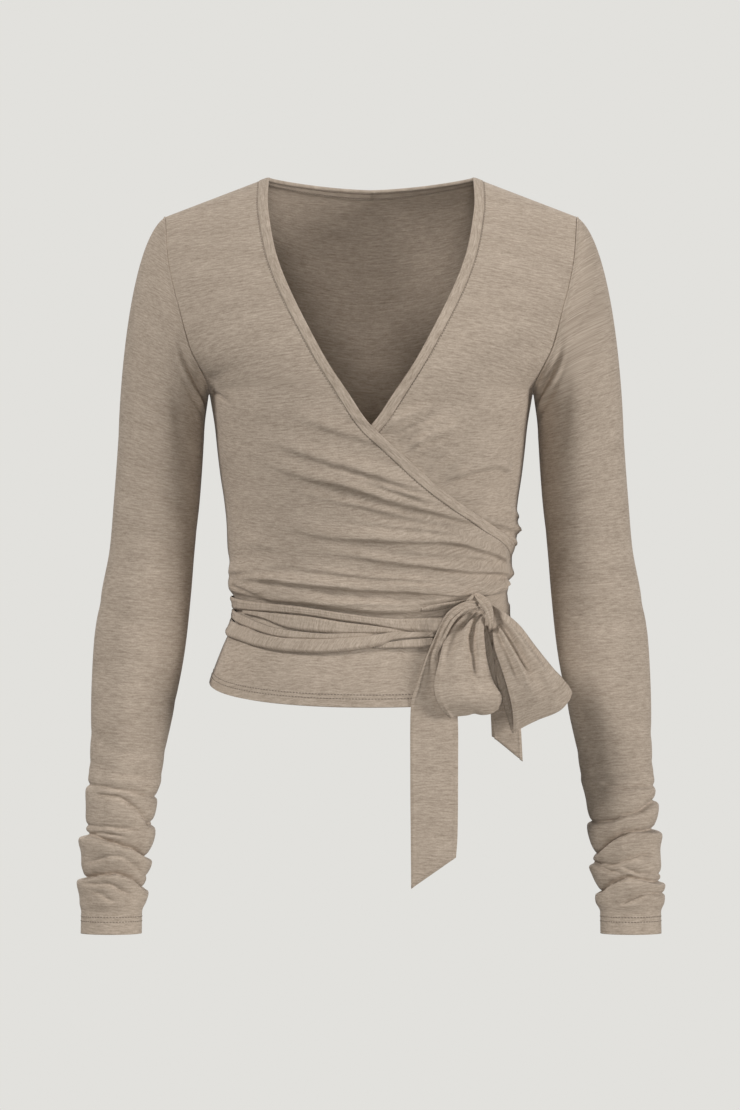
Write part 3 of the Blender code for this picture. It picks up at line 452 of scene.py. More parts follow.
def front_ends(front, upper_rows, lower_rows):
    """Both ends of a front's rows: its side, its seam to the band, and the band's free edge."""
    share = 1 - (np.arange(upper_rows) / upper_rows) ** ROWS_POWER
    arm_x, arm_z = armhole_points(share)
    edge_z = np.full(share.shape, ROW_START_Z)
    for _ in range(REPEATS):
        edge_x = read(WRAP_EDGE, "x", edge_z)
        edge_z = ROW_START_Z + (crest(edge_x) - ROW_START_Z) * share
    low = np.linspace(0, 1, lower_rows + 1)
    side_z = np.interp(low, ROW_RUN["share"], ROW_RUN["side"])
    low_edge_z = np.interp(low, ROW_RUN["share"], ROW_RUN["edge"])
    join = np.concatenate
    ends = {}
    for name, distance in (("band", BAND_WIDTH), ("panel", BAND_WIDTH + SEAM_GAP)):
        turn, z = upper_inset(edge_x, edge_z, share, front, distance)
        low_turn, low_z = inset(low_edge_z, front, distance)
        ends[name + "_turn"] = join([turn, low_turn])
        ends[name + "_z"] = join([z, low_z])
    last = ROW_RUN["share"][-2]
    return ends | {
        "upper": join([share, np.zeros(low.size)]),
        "to_hem": join([np.zeros(share.size), np.clip((low - last) / (1 - last), 0, 1)]),
        "side_turn": join([turn_at(-arm_x, arm_z), np.zeros(low.size)]),
        "side_z": join([arm_z, side_z]),
        "edge_turn": join([edge_turn(edge_z, front), edge_turn(low_edge_z, front)]),
        "edge_z": join([edge_z, low_edge_z]),
    }


def panel_places(ends, columns):
    """Turn and height of a front's points, from its side seam to its band's seam."""
    share = spread(columns)[None, :]
    start, end = ends["side_turn"][:, None], ends["panel_turn"][:, None]
    turn = start + (end - start) * share
    x = skin_x(turn, ends["side_z"][:, None])
    across = (x - x[:, :1]) / (x[:, -1:] - x[:, :1])
    along = np.where(ends["upper"][:, None] > 0, across, share)
    z = ends["side_z"][:, None] + (ends["panel_z"] - ends["side_z"])[:, None] * along
    return turn, z + (hem_z(turn) - z) * ends["to_hem"][:, None]


def band_places(ends, columns):
    """Turn and height of the wrap edge's band, from its seam to its free edge."""
    share = np.linspace(0, 1, columns + 1)[None, :]
    turn = ends["band_turn"][:, None] + (ends["edge_turn"] - ends["band_turn"])[:, None] * share
    z = ends["band_z"][:, None] + (ends["edge_z"] - ends["band_z"])[:, None] * share
    return turn, z + (hem_z(turn) - z) * ends["to_hem"][:, None]


OVER_ROWS, UNDER_ROWS = (70, 200), (60, 130)
over_ends = front_ends("over", *OVER_ROWS)
under_ends = front_ends("under", *UNDER_ROWS)
print("rows of the right front:", over_ends["side_z"].size)

# %% [markdown]
# ## Folds
# Jersey pulled to a knot lies in long soft folds. A cloth simulation makes folds of its own
# choosing, and these have to run along set lines, so each one is listed: a line through a few
# places, a height (a valley where it is below nothing), and how far its shoulder reaches above and
# below the line. Both ends fade out. Fine unevenness along each line comes from a sum of slow
# waves.

# %% Folds placed on a panel
def ridge(distance, up, down):
    """Height of a soft ridge at a signed distance above its top line: exp(-(d / reach)^2)."""
    return np.exp(-(distance / np.where(distance > 0, up, down)) ** 2)


# Sizes, lengths in mm and phases of the slow waves that make a line uneven.
WAVES = ((0.7, 61.0, 1.3), (0.45, 27.0, 2.1), (0.25, 13.0, 0.4))
# A turn round the body times this radius is a length in millimetres, near enough for the waves.
BODY_RADIUS = 120


def waver(at, seed):
    """Slow uneven wave about 0, mostly within 1, along a line measured in millimetres."""
    return sum(
        size * np.sin(at * 2 * math.pi / length + phase * (seed + 1))
        for size, length, phase in WAVES
    )


def fold(turn, z, x_places, z_places, height, up, down, fade_in=0.45, fade_out=0.25, seed=0):
    """One fold across a panel: its foot runs through the places, and its ends fade in and out."""
    x_places, z_places = np.array(x_places, dtype=float), np.array(z_places, dtype=float)
    places = turn_at(x_places, z_places)
    line = smooth(turn, places, z_places)
    span = places[-1] - places[0]
    ends = smoothstep((turn - places[0]) / (fade_in * span))
    ends = ends * smoothstep((places[-1] - turn) / (fade_out * span))
    along = turn * BODY_RADIUS
    uneven = 1 + FOLD_UNEVEN * waver(along, seed)
    shifted = z - line - (FOOT * down if height > 0 else 0) - FOLD_WAVER * waver(along, seed + 5)
    return FOLD_SCALE * height * uneven * ends * ridge(shifted, up, down)


def folds(turn, z, rows):
    """Sum of the folds in a list."""
    total = np.zeros(np.broadcast(turn, z).shape)
    for number, row in enumerate(rows):
        total = total + fold(turn, z, *row, seed=number)
    return total


# The folds' scale, how uneven they are, and how far a ridge's top lies above its foot.
FOLD_SCALE, FOLD_UNEVEN, FOLD_WAVER, FOOT = 2.2, 0.22, 0.5, 0.9
OVER_FOLDS = (
    # x places, z places, height, reach up, reach down, and the shares that fade in and out
    ((-104, -60, -20, 20, 74), (-203, -219, -231, -243, -261), 1.8, 9, 3.2),
    ((-110, -60, -22, 34, 104), (-222, -239, -248, -265, -284), 2.1, 9, 3.0, 0.45, 0.15),
    ((-4, 32, 84), (-244, -254, -267), 1.1, 5, 2.2),
    ((-74, -30, 22), (-186, -199, -215), 0.9, 8, 3.6),
    ((-88, -35, 15, 65, 95, 124), (-283, -293, -296, -297, -303, -318), 2.1, 8, 2.8, 0.45, 0.10),
    ((-60, 20, 68, 95, 112, 132), (-304, -315, -321, -323.5, -324.5, -330),
     1.9, 6, 2.2, 0.45, 0.05),
    ((-136, -110, -84, -40), (-327, -324, -321, -317), 1.4, 8, 4, 0.10, 0.60),
    ((-128, -84, -38, 31, 76, 96), (-329, -332, -337, -341, -342, -341), 2.2, 7.0, 2.2, 0.30, 0.10),
    ((92, 108, 126), (-342, -340, -334), 1.8, 5, 1.6, 0.15, 0.15),
    ((0, 60, 92, 100), (-349.5, -348, -344, -343), 1.0, 4, 2),
    ((-70, -20, 30, 76), (-351.5, -353, -353, -349), 0.9, 4, 2.4),
    ((-126, -112, -84), (-336.5, -340, -349), -1.1, 2.0, 2.0, 0.15, 0.50),
    ((-116, -98, -74), (-300, -302, -306), 0.7, 7, 4, 0.30, 0.45),
    # Fine drag lines between them.
    ((-66, -20, 20, 66), (-225, -238, -250, -266), 0.6, 3.5, 1.8),
    ((-80, -20, 30, 80, 108), (-250, -263, -274, -284, -292), 0.75, 4, 2.0),
    ((-36, 30, 80, 118), (-276, -284, -290, -300), 0.8, 5, 2.4, 0.45, 0.15),
    ((-24, 40, 90, 122), (-302, -307, -310, -318), 0.6, 3.5, 1.8),
    ((-92, -30, 20, 70, 104), (-317, -325, -330, -332, -332), 0.8, 4, 2.0, 0.40, 0.20),
    ((-10, 50, 98), (-333, -336.5, -337), 0.6, 3, 1.6),
    ((-40, 0, 34), (-176, -194, -216), 0.5, 5, 2.4),
    ((-147, -140, -122), (-157, -163, -171), -1.3, 2.4, 2.0, 0.10, 0.70),
    ((-146, -136, -112), (-152, -146, -133), -0.8, 4.0, 4.0, 0.10, 0.70),
)
UNDER_FOLDS = (
    ((9, 18, 29, 42, 64), (-199.5, -194, -188, -183.5, -178), 2.2, 7, 2.8, 0.20, 0.60),
    ((20, 28, 40, 56, 80), (-208, -203.5, -198, -193, -187), 1.2, 5, 2.4, 0.20, 0.60),
    ((30, 40, 54, 70, 96), (-216, -211, -204.5, -199, -192), 2.4, 8, 3.0, 0.20, 0.60),
    ((48, 56, 68, 84), (-233, -229, -224, -219), 1.2, 6, 2.6, 0.20, 0.60),
    ((62, 70, 87, 100, 112, 128), (-245, -241.5, -234.8, -230.5, -229, -238),
     2.6, 8, 3.0, 0.20, 0.30),
    ((92, 112, 120, 127, 136), (-276, -281, -283, -285, -289), 1.8, 5, 2.0, 0.10, 0.10),
    ((56, 84, 112), (-262, -258, -262), 0.8, 5, 3, 0.15, 0.40),
    ((106, 122, 130, 136), (-295, -297, -299, -303), 1.8, 4, 1.8, 0.10, 0.10),
    ((116, 126, 136), (-268, -270, -275), 1.0, 4, 2.0, 0.30, 0.10),
)


# How far the fronts lap over each other, and how far they stand apart at the sides of the waist.
LAP, LAP_Z, LAP_FADE = 2.4, -140, 45
SIDE_LIFT, SIDE_LIFT_Z, SIDE_LIFT_FADE = 1.2, -270, 20
# At the left side the knot pulls the cloth in, by so many millimetres at each height.
SIDE_PULL = table(
    "z inwards",
    (-268, 0), (-278, -2), (-290, -1.6), (-298, 1), (-303, 3.6), (-308.5, 5), (-314, 4.2),
    (-319, 3.4), (-325, 5.6), (-330, 9.2), (-336, 9), (-341, 7.4), (-347, 3), (-353, 0),
)
SIDE_PULL_REACH = 0.42


def side_pull(turn, z):
    """How far the knot pulls every layer in at the left side seam, where the turn is a half."""
    return -read(SIDE_PULL, "inwards", z) * np.exp(-((turn - math.pi) / SIDE_PULL_REACH) ** 2)


def over_lift(turn, z):
    """How far the right front stands off the skin: by nothing at its own side, most at the left."""
    lap = LAP * smoothstep((LAP_Z - z) / LAP_FADE) * np.clip(turn / math.pi, 0, 1)
    lift = SIDE_LIFT * smoothstep((turn - 2.8) / 0.4)
    return lap + lift * smoothstep((SIDE_LIFT_Z - z) / SIDE_LIFT_FADE) + side_pull(turn, z)


def under_lift(turn, z):
    """The same for the left front, which lies inside."""
    lap = LAP * smoothstep((LAP_Z - z) / LAP_FADE) * (1 - np.clip(turn / math.pi, 0, 1))
    lift = SIDE_LIFT * smoothstep((0.7 - turn) / 0.5)
    return side_pull(turn, z) - lap - lift * smoothstep((SIDE_LIFT_Z - z) / SIDE_LIFT_FADE)


ROLL = table(
    "x edge height",
    (-127, -341, 0.8), (-107, -345.5, 2.6), (-90, -349.5, 4), (-60, -352.5, 5), (-24, -358, 5.5),
    (12, -361.5, 5.7), (36, -361, 5.5), (60, -356, 4.8), (76, -352, 4.3), (100, -344, 3),
    (122, -343, 1),
)
ROLL_FADE, ROLL_TOP, ROLL_UP, ROLL_DOWN = 0.25, 4.0, 9.0, 2.8


def roll(turn, z):
    """The lowest gather of the right front, which rolls over the tie and ends in the knot."""
    places = turn_at(ROLL["x"], ROLL["edge"])
    edge = smooth(turn, places, ROLL["edge"])
    window = smoothstep(turn / ROLL_FADE) * smoothstep((math.pi - turn) / ROLL_FADE)
    rolled = ridge(z - edge - ROLL_TOP, ROLL_UP, ROLL_DOWN)
    return smooth(turn, places, ROLL["height"]) * window * rolled


def over_height(turn, z):
    """Height of the right front over the skin, folds and all."""
    return over_lift(turn, z) + folds(turn, z, OVER_FOLDS) + roll(turn, z)


SHOWN_FADE = 0.03


def under_height(turn, z):
    """Height of the left front, whose folds show only beyond the right front's edge."""
    shown = smoothstep((turn - edge_turn(z, "over")) / SHOWN_FADE)
    return under_lift(turn, z) + shown * folds(turn, z, UNDER_FOLDS)


spot = turn_at(np.array([0.0]), np.array([WAIST_Z]))
lift = float(over_height(spot, WAIST_Z)[0])
print("right front over the skin at the middle of the waist:", lift, "mm")

# %% [markdown]
# ## The two fronts
# Both fronts are the same cut, one of them mirrored, and the left one lies inside. They could be
# draped as flat panels by a simulation, which loses the exact wrap line, so they stay on the skin.
# Where a panel meets a seam it dips a little, because the thread pulls it in, and the side and
# shoulder seams then show as soft grooves. The UV map follows the courses: along a row, and down by
# the true length.

# %% Right front and left front
def seam_dip(distance, depth, reach=0.9):
    """How far cloth sinks beside a seam: -depth exp(-(d / reach)^2)."""
    return -depth * np.exp(-(distance / reach) ** 2)


def courses(points):
    """UV of a panel in mm: along its rows, and down by height and by what its depth adds."""
    rise, depth = np.diff(points[..., 2], axis=0), np.diff(points[..., 1], axis=0)
    extra = np.cumsum(np.hypot(rise, depth) - np.abs(rise), axis=0)
    down = np.concatenate([np.zeros((1, points.shape[1])), extra])
    return np.stack([distances(points, 1), points[..., 2] - down], axis=-1)


def mirrored(points):
    """The same grid on the other side of the wearer."""
    return points[:, ::-1] * np.array([-1, 1, 1])


ARMHOLE_DIP, SIDE_DIP, OTHER_DIP = 0.08, 0.35, 0.24
# Front and back stay so far from y = 0 at the seams where they meet.
SEAM_Y = 0.1


def sewn(turn, z, height):
    """Points of a panel, sunk beside the seams on both sides of its grid and along its top row."""
    points = skin(turn, z) + outward(turn, z) * height[..., None]
    across, down = distances(points, 1), distances(points, 0)
    first = np.where(z[:, :1] > UNDERARM_Z, ARMHOLE_DIP, SIDE_DIP)
    sink = seam_dip(across, first) + seam_dip(across[:, -1:] - across, OTHER_DIP)
    sink = sink + seam_dip(down, OTHER_DIP)
    return points + outward(turn, z) * sink[..., None]


def on_shoulder(points):
    """A front with its top row on the shoulder line and its first column just before the seam."""
    points[0, :, 2] = crest(points[0, :, 0])
    points[0, :, 1] = -SEAM_Y
    points[:, 0, 1] = np.minimum(points[:, 0, 1], -SEAM_Y)
    return points


def own_under_height(turn, z):
    """under_height for a left front that is built on the right side, before it is mirrored."""
    return under_height(math.pi - turn, z)


def front_points(ends, columns, height):
    """Grid of a front, built on the right side."""
    turn, z = panel_places(ends, columns)
    return on_shoulder(sewn(turn, z, height(turn, z)))


OVER_COLUMNS, UNDER_COLUMNS = 150, 110
over_points = front_points(over_ends, OVER_COLUMNS, over_height)
front_over = piece("front_over_cloth", over_points, courses(over_points), "front_over", cloth)
under_points = mirrored(front_points(under_ends, UNDER_COLUMNS, own_under_height))
front_under = piece("front_under_cloth", under_points, courses(under_points), "front_under", cloth)

# %% [markdown]
# ## The bands of the wrap edges
# Each wrap edge is bound with a narrow band that is folded over and stitched down. It is a strip in
# its own right, thicker than the panel, with a rounded outer edge and a groove where it meets the
# panel.

# %% Bands
BAND_CELLS, BINDING_RISE = 12, 0.35
BAND_SHARES = np.linspace(0, 1, BAND_CELLS + 1)


def band_height(share, rise):
    """A band's top over the panel: round at its free edge (share 1) and at its seam (share 0)."""
    seam, free = np.exp(-(share / 0.07) ** 2), np.exp(-((1 - share) / 0.12) ** 2)
    return rise * (1 - 0.9 * seam - 1.2 * free)


def make_binding(name, ends, height, flip, node):
    """A wrap edge's band, on the same rows as its panel."""
    turn, z = band_places(ends, BAND_CELLS)
    raised = height(turn, z) + band_height(BAND_SHARES, BINDING_RISE)
    points = skin(turn, z) + outward(turn, z) * raised[..., None]
    points[0, :, 2] = crest(points[0, :, 0])
    points[0, :, 1] = -SEAM_Y
    if flip:
        points = mirrored(points)
    uv = np.stack([-distances(points, 0), distances(points, 1)], axis=-1)
    return piece(name, points, uv, node, cloth, BAND_THICKNESS), points


binding_over, over_band = make_binding(
    "binding_over_band", over_ends, over_height, False, "binding_over"
)
binding_under, under_band = make_binding(
    "binding_under_band", under_ends, own_under_height, True, "binding_under"
)

# %% [markdown]
# ## The back
# One piece from side seam to side seam, with a neck edge that dips a little between the shoulders.
# It could be the fronts' grid closed up, but the neck edge needs its own rows. Its inner face shows
# through the neck.

# %% Back and its neckband
NECK_BACK_Z, NECK_CURVE, NECKBAND_THICKNESS = 28.0, 1.7, 3.0
BACK_FOLDS = (
    # turn places, z places, height, reach up, reach down
    ((3.3, 4.0, 4.9), (-262, -270, -268), 1.4, 9, 4),
    ((3.4, 4.2, 5.0), (-286, -291, -284), 1.9, 9, 4),
    ((4.4, 5.2, 6.1), (-306, -313, -304), 2.2, 9, 4),
    ((3.3, 4.3, 5.0), (-322, -319, -326), 1.9, 7, 3.2),
    ((4.9, 5.5, 6.2), (-284, -286, -276), 1.5, 8, 4),
    ((4.0, 4.8, 5.6), (-399, -394, -401), 1.6, 9, 6),
    ((5.0, 5.6, 6.2), (-392, -388, -396), 1.3, 7, 5),
    ((3.5, 4.0, 4.6), (-236, -246, -250), 1.0, 9, 5),
)


def back_neck(place, below):
    """x and z of the back neck's edge, or of a line below it; place runs from -1 to 1."""
    half, low = NECK_X + below, NECK_BACK_Z - below
    return half * place, low + (crest(half) - low) * np.abs(place) ** NECK_CURVE


BACK_NECK_COLUMNS, BACK_SHOULDER_COLUMNS, BACK_UPPER_ROWS, BACK_LOWER_ROWS = 70, 31, 60, 130
# The rows are level down to a height, at a share of the way, and then follow the hem.
LEVEL_Z, LEVEL_SHARE = -384, 0.86


def back_folds(turn, z):
    """Sum of the back's folds."""
    total = np.zeros(turn.shape)
    for number, (places, heights, tall, up, down) in enumerate(BACK_FOLDS):
        line = smooth(turn, np.array(places), np.array(heights, dtype=float))
        ends = smoothstep((turn - places[0]) / 0.3) * smoothstep((places[-1] - turn) / 0.3)
        uneven = 1 + 0.2 * waver(turn * BODY_RADIUS, number)
        total += tall * uneven * ends * ridge(z - line, up, down)
    return total


def make_back():
    """The back's grid: shoulder, neck and shoulder along its top, side seams down its ends."""
    arm_x = read(ARMHOLE, "x", 1.0)
    neck_x, neck_z = back_neck(np.linspace(1, -1, BACK_NECK_COLUMNS), BAND_WIDTH + SEAM_GAP)
    out_x = np.linspace(arm_x, neck_x[0], BACK_SHOULDER_COLUMNS)
    top_x = np.concatenate([out_x, neck_x[1:-1], -out_x[::-1]])
    top_z = np.concatenate([crest(out_x), neck_z[1:-1], crest(out_x)[::-1]])
    top_turn = 2 * math.pi - turn_at(top_x, top_z)
    share = 1 - (np.arange(BACK_UPPER_ROWS)[:, None] / BACK_UPPER_ROWS) ** ROWS_POWER
    hole_x, hole_z = armhole_points(share)
    start = 2 * math.pi - turn_at(hole_x, hole_z)
    place = (top_turn - top_turn[0]) / (top_turn[-1] - top_turn[0])
    turn = start + (3 * math.pi - 2 * start) * place
    z = UNDERARM_Z + (top_z - UNDERARM_Z) * share
    z[:, [0, -1]] = hole_z
    low = np.linspace(0, 1, BACK_LOWER_ROWS + 1)[:, None]
    low_turn = math.pi * (1 + place) * np.ones_like(low)
    level = np.minimum(low / LEVEL_SHARE, 1) * np.ones_like(place)
    low_z = UNDERARM_Z + (LEVEL_Z - UNDERARM_Z) * level
    to_hem = np.clip((low - LEVEL_SHARE) / (1 - LEVEL_SHARE), 0, 1)
    low_z = low_z + (hem_z(low_turn) - low_z) * to_hem
    turn, z = np.concatenate([turn, low_turn]), np.concatenate([z, low_z])
    points = sewn(turn, z, side_pull(turn, z) + back_folds(turn, z))
    points[0, :, 0], points[0, :, 2] = top_x, top_z
    points[1:, :, 1] = np.maximum(points[1:, :, 1], SEAM_Y)
    points[0, np.abs(top_x) > neck_x[0] - 0.01, 1] = SEAM_Y
    return points


NECKBAND_COLUMNS, NECKBAND_RISE = 121, 0.5


def make_neckband():
    """The neck band's grid: its free edge along the top, its seam to the back along the bottom."""
    place, share = np.linspace(1, -1, NECKBAND_COLUMNS)[None, :], BAND_SHARES[:, None]
    edge_x, edge_z = back_neck(place, 0.0)
    seam_x, seam_z = back_neck(place, BAND_WIDTH)
    x, z = edge_x + (seam_x - edge_x) * share, edge_z + (seam_z - edge_z) * share
    turn = 2 * math.pi - turn_at(x, z)
    points = skin(turn, z) + outward(turn, z) * band_height(1 - share, NECKBAND_RISE)[..., None]
    points[:, [0, -1], 1] = SEAM_Y
    return points


back_points = make_back()
back = piece("back_cloth", back_points, courses(back_points), "back", cloth)
neck_band = make_neckband()
neck_uv = np.stack([distances(neck_band, 1), -distances(neck_band, 0)], axis=-1)
neckband_back = piece(
    "neckband_back_band", neck_band, neck_uv, "neckband_back", cloth, NECKBAND_THICKNESS
)
print("length of the back neck's band, mm:", round(float(distances(neck_band, 1)[0, -1])))

# %% [markdown]
# ## Sleeves
# A sleeve is a tube cut from one piece and set into the armhole. It could be a swept curve, but its
# width changes from the cap to the wrist and its outline matters, so each ring comes from a table
# of the outer side, the inner side, the depth, and how far it hangs forwards. The cap is a smooth
# bridge from the armhole to the first ring. The pushed-up wrist is a stack of creases, each one
# listed: a valley with a steep lower wall, and a roll of cloth just below it.

# %% Sleeve shape
SLEEVE = table(
    "z outer inner depth forward",
    (-200, 229.8, 151.9, 45, 0), (-229, 231.8, 153.6, 44, 0), (-258, 234, 155.8, 43, 1),
    (-301, 237.6, 160.2, 41, 3), (-345, 246, 163.8, 41, 6), (-389, 252, 168.4, 40, 9),
    (-432, 254, 175.6, 38.5, 13), (-476, 254.8, 184.7, 36, 17), (-505, 256, 190, 34, 20),
    (-531, 256.4, 196.5, 32.5, 22), (-565, 259.4, 200.2, 31.5, 24), (-600, 262, 204.6, 30.5, 26),
    (-622, 262.4, 207.2, 29.5, 28), (-650, 263, 207.6, 29, 29),
)
CAP_LEAVES_TOP, CAP_LEAVES_UNDERARM = (-92.0, 0.0, -58.0), (-4.0, 0.0, -38.0)
CAP_SWELL_OUT, CAP_SWELL_DEEP = 34.0, 4.0
CAP_ARRIVES, CAP_ARRIVES_UNDERARM = (-4.0, 0.0, -170.0), 0.3
CUFF_TOP_Z, CUFF_FOLDS_END_Z, CUFF_Z, CUFF_PUFF, CUFF_FADE = -505.0, -622.0, -650.0, 1.6, 9.0

# Heights of each crease at the outer side, a quarter, the middle, three quarters and inside.
CREASE = "z0 z1 z2 z3 z4 start end depth up down"
RIGHT_CREASES = table(
    CREASE,
    (-516, -517, -519.6, -522.8, -526, -1, 2, 1.9, 5, 2.4),
    (-525, -525, -528.3, -537.4, -552.4, 0.1, 2, 2.6, 4, 2.6),
    (-552, -552.8, -554.2, -554.2, -549.6, -1, 2, 1.6, 4, 2.4),
    (-559, -559.7, -561, -563, -565, -1, 0.68, 1.2, 2.5, 2),
    (-561, -565.1, -569, -573.3, -581.5, -1, 2, 4.6, 6, 1.6),
    (-588.8, -582.4, -578.8, -586, -598, 0.05, 2, 1.3, 3.5, 2.4),
    (-600, -597.4, -596.6, -598.8, -609.7, -1, 2, 4.4, 6, 1.6),
    (-604.2, -605.2, -606, -612.9, -620, 0.05, 0.88, 1.8, 3, 2),
    (-604, -611.5, -618.8, -624, -628, 0.14, 0.6, 1.2, 3, 2),
)
LEFT_CREASES = table(
    CREASE,
    (-517, -516, -517, -514, -512, -1, 0.8, 1.5, 5, 3),
    (-529.6, -538.7, -543.5, -548.5, -548.7, -1, 2, 3, 5, 2),
    (-556, -557.4, -560.1, -566.9, -580.6, -1, 2, 4.6, 6, 1.6),
    (-577.9, -578.8, -582.4, -587, -587, 0.08, 2, 2.2, 4, 2),
    (-596, -595.6, -592, -586, -582, -1, 0.66, 1.6, 4, 2),
    (-596, -596, -595, -594.2, -585, 0.6, 2, 2, 3.5, 2),
    (-603.3, -602, -600, -603.6, -612.4, -1, 2, 3.8, 5, 1.8),
    (-613.3, -613, -619.7, -623, -626, -1, 0.7, 2, 4, 2),
)
# Long soft folds of the arm: the same five places across, for the front and for the back.
ARM_FOLDS = table(
    CREASE,
    (-150, -160, -178, -205, -238, 0.45, 1.02, 0.8, 14, 9),
    (-205, -222, -243, -262, -284, 0.35, 1.05, 1, 14, 10),
    (-305, -296, -291, -300, -312, 0.2, 1.02, 0.9, 14, 10),
    (-352, -364, -371, -369, -362, -0.1, 0.85, 1, 16, 10),
    (-430, -424, -421, -428, -440, 0.15, 1.1, 1, 14, 9),
    (-470, -480, -486, -488, -486, -0.1, 1.1, 1.2, 12, 8),
    (-496, -500, -505, -506, -503, -0.1, 0.9, 1.2, 9, 5),
)
BACK_CREASE_SHIFT, CREASE_SCALE, LAP_SHARE = 6.0, 1.5, 1.15
CAP_RINGS, ARM_RINGS, CUFF_RINGS = 84, 90, 190


CREASE_PLACES = np.array([0, 0.25, 0.5, 0.75, 1])
CREASE_FADE, ROLL_SHARE = 0.14, 0.42


def creases(rows, across, z, back, roll_share):
    """Height of a sleeve's creases, each a valley over a roll, and how far the roll laps up."""
    height = np.zeros(np.broadcast(across, z).shape)
    lap = np.zeros(height.shape)
    middle = np.sin(math.pi * np.clip(across, 0, 1))
    for number, row in enumerate(zip(*rows.values())):
        start, end, deep, up, down = row[5:]
        line = smooth(across, CREASE_PLACES, np.array(row[:5]))
        line = line - BACK_CREASE_SHIFT * back * np.sin(math.pi * across)
        line = line + 0.6 * waver(across * 90 + 200 * back, number)
        above = z - line
        ends = smoothstep((across - start) / CREASE_FADE) * smoothstep((end - across) / CREASE_FADE)
        uneven = 1 + 0.15 * waver(across * 110 + 300 * back, number + 3)
        valley = -0.55 * ridge(above, 1.3 * up, 1.1 * down)
        valley = valley - 0.5 * ridge(above, 0.4 * up, 0.6 * down)
        swollen = roll_share * ridge(above + 3.2 * down, 2.8 * down, 5.5 * down)
        height += deep * ends * uneven * (valley + swollen)
        rolled = ridge(above + 2.4 * down, 2.0 * down, 3.0 * down)
        lap += LAP_SHARE * roll_share * deep * ends * middle * rolled
    return height, lap


def sleeve_ring(z, around, rows):
    """Points of the right sleeve at height z; around is 0 outside and a quarter at the front."""
    outer, inner, depth, forward = (read(SLEEVE, name, z) for name in list(SLEEVE)[1:])
    across = (1 - np.cos(around)) / 2
    back = smoothstep(-np.sin(around) / 0.2)
    into_cuff = smoothstep((CUFF_TOP_Z - z) / CUFF_FADE)
    in_cuff = into_cuff * smoothstep((z - CUFF_FOLDS_END_Z) / CUFF_FADE + 1)
    height, lap = creases(rows, across, z, back, ROLL_SHARE)
    swell = in_cuff * (CUFF_PUFF + CREASE_SCALE * height)
    swell = swell + creases(ARM_FOLDS, across, z, back, 0.0)[0]
    x = (outer + inner) / 2 + ((outer - inner) / 2 + swell) * np.cos(around)
    y = -forward - (depth + swell) * np.sin(around)
    return np.stack(np.broadcast_arrays(-x, y, z + in_cuff * lap), axis=-1)


def armhole_loop(around):
    """Points of the right armhole, from the shoulder point down the front and up the back."""
    x, z = armhole_points((1 + np.cos(around)) / 2)
    turn = turn_at(-x, z)
    return np.where(np.sin(around)[:, None] >= 0, skin(turn, z), skin(2 * math.pi - turn, z))


def cap_bridge(t, start, leave, end, arrive):
    """Cubic from start to end with given slopes.

    (2t^3 - 3t^2 + 1) start + (t^3 - 2t^2 + t) leave + (3t^2 - 2t^3) end + (t^3 - t^2) arrive
    """
    return (
        (2 * t ** 3 - 3 * t ** 2 + 1) * start + (t ** 3 - 2 * t ** 2 + t) * leave
        + (3 * t ** 2 - 2 * t ** 3) * end + (t ** 3 - t ** 2) * arrive
    )


SLEEVE_COLUMNS = 96
AROUND = np.arange(SLEEVE_COLUMNS) * 2 * math.pi / SLEEVE_COLUMNS
# The sleeve starts so far outside the armhole, and its cap's rings crowd towards it by this power.
CAP_GAP, CAP_POWER = 0.08, 1.15


def sleeve_grid(rows):
    """Rings of the right sleeve, from the armhole to the cuff."""
    around = AROUND
    top = ((1 + np.cos(around)) / 2)[:, None]
    start = armhole_loop(around) + np.array([-CAP_GAP, 0, 0]) * (1 + top)
    end = sleeve_ring(np.full(around.shape, SLEEVE["z"][0]), around, rows)
    leave = top * np.array(CAP_LEAVES_TOP) + (1 - top) * np.array(CAP_LEAVES_UNDERARM)
    leave[:, 0] -= CAP_SWELL_OUT * np.sin(around) ** 2
    leave[:, 1] += CAP_SWELL_DEEP * np.sin(around)
    arrive = np.array(CAP_ARRIVES) * (top + CAP_ARRIVES_UNDERARM * (1 - top))
    t = (np.linspace(0, 1, CAP_RINGS + 1)[:-1] ** CAP_POWER)[:, None, None]
    cap = cap_bridge(t, start, leave, end, arrive)
    arm = np.linspace(SLEEVE["z"][0], CUFF_TOP_Z, ARM_RINGS + 1)[:-1]
    heights = np.concatenate([arm, np.linspace(CUFF_TOP_Z, CUFF_Z, CUFF_RINGS + 1)])
    return np.concatenate([cap, sleeve_ring(heights[:, None], around[None, :], rows)])


LOW_TILT, MORE_TILT, TILT_Z, TILT_FADE, TILT_X = 0.06, 0.44, -330, 240, 190


def sleeve_courses(points):
    """UV of a sleeve: round it, and down it by length on the cap and by height below.

    The courses tilt as the cloth hangs, more towards the shoulder.
    """
    wrapped = closed_up(points)
    down = distances(wrapped, 0)
    down = down - down[CAP_RINGS]
    down[CAP_RINGS:] = wrapped[CAP_RINGS, :, 2] - wrapped[CAP_RINGS:, :, 2]
    tilt = LOW_TILT + MORE_TILT * smoothstep((wrapped[..., 2] - TILT_Z) / TILT_FADE)
    tilted = tilt * (np.abs(wrapped[..., 0]) - TILT_X)
    return np.stack([distances(wrapped, 1), -down - tilted], axis=-1)


def seam_ridge(distance):
    """The sleeve's edge stands up a little at the armhole, over the turned seam beneath it."""
    return 0.8 * ridge(distance - 0.9, 0.9, 0.9)


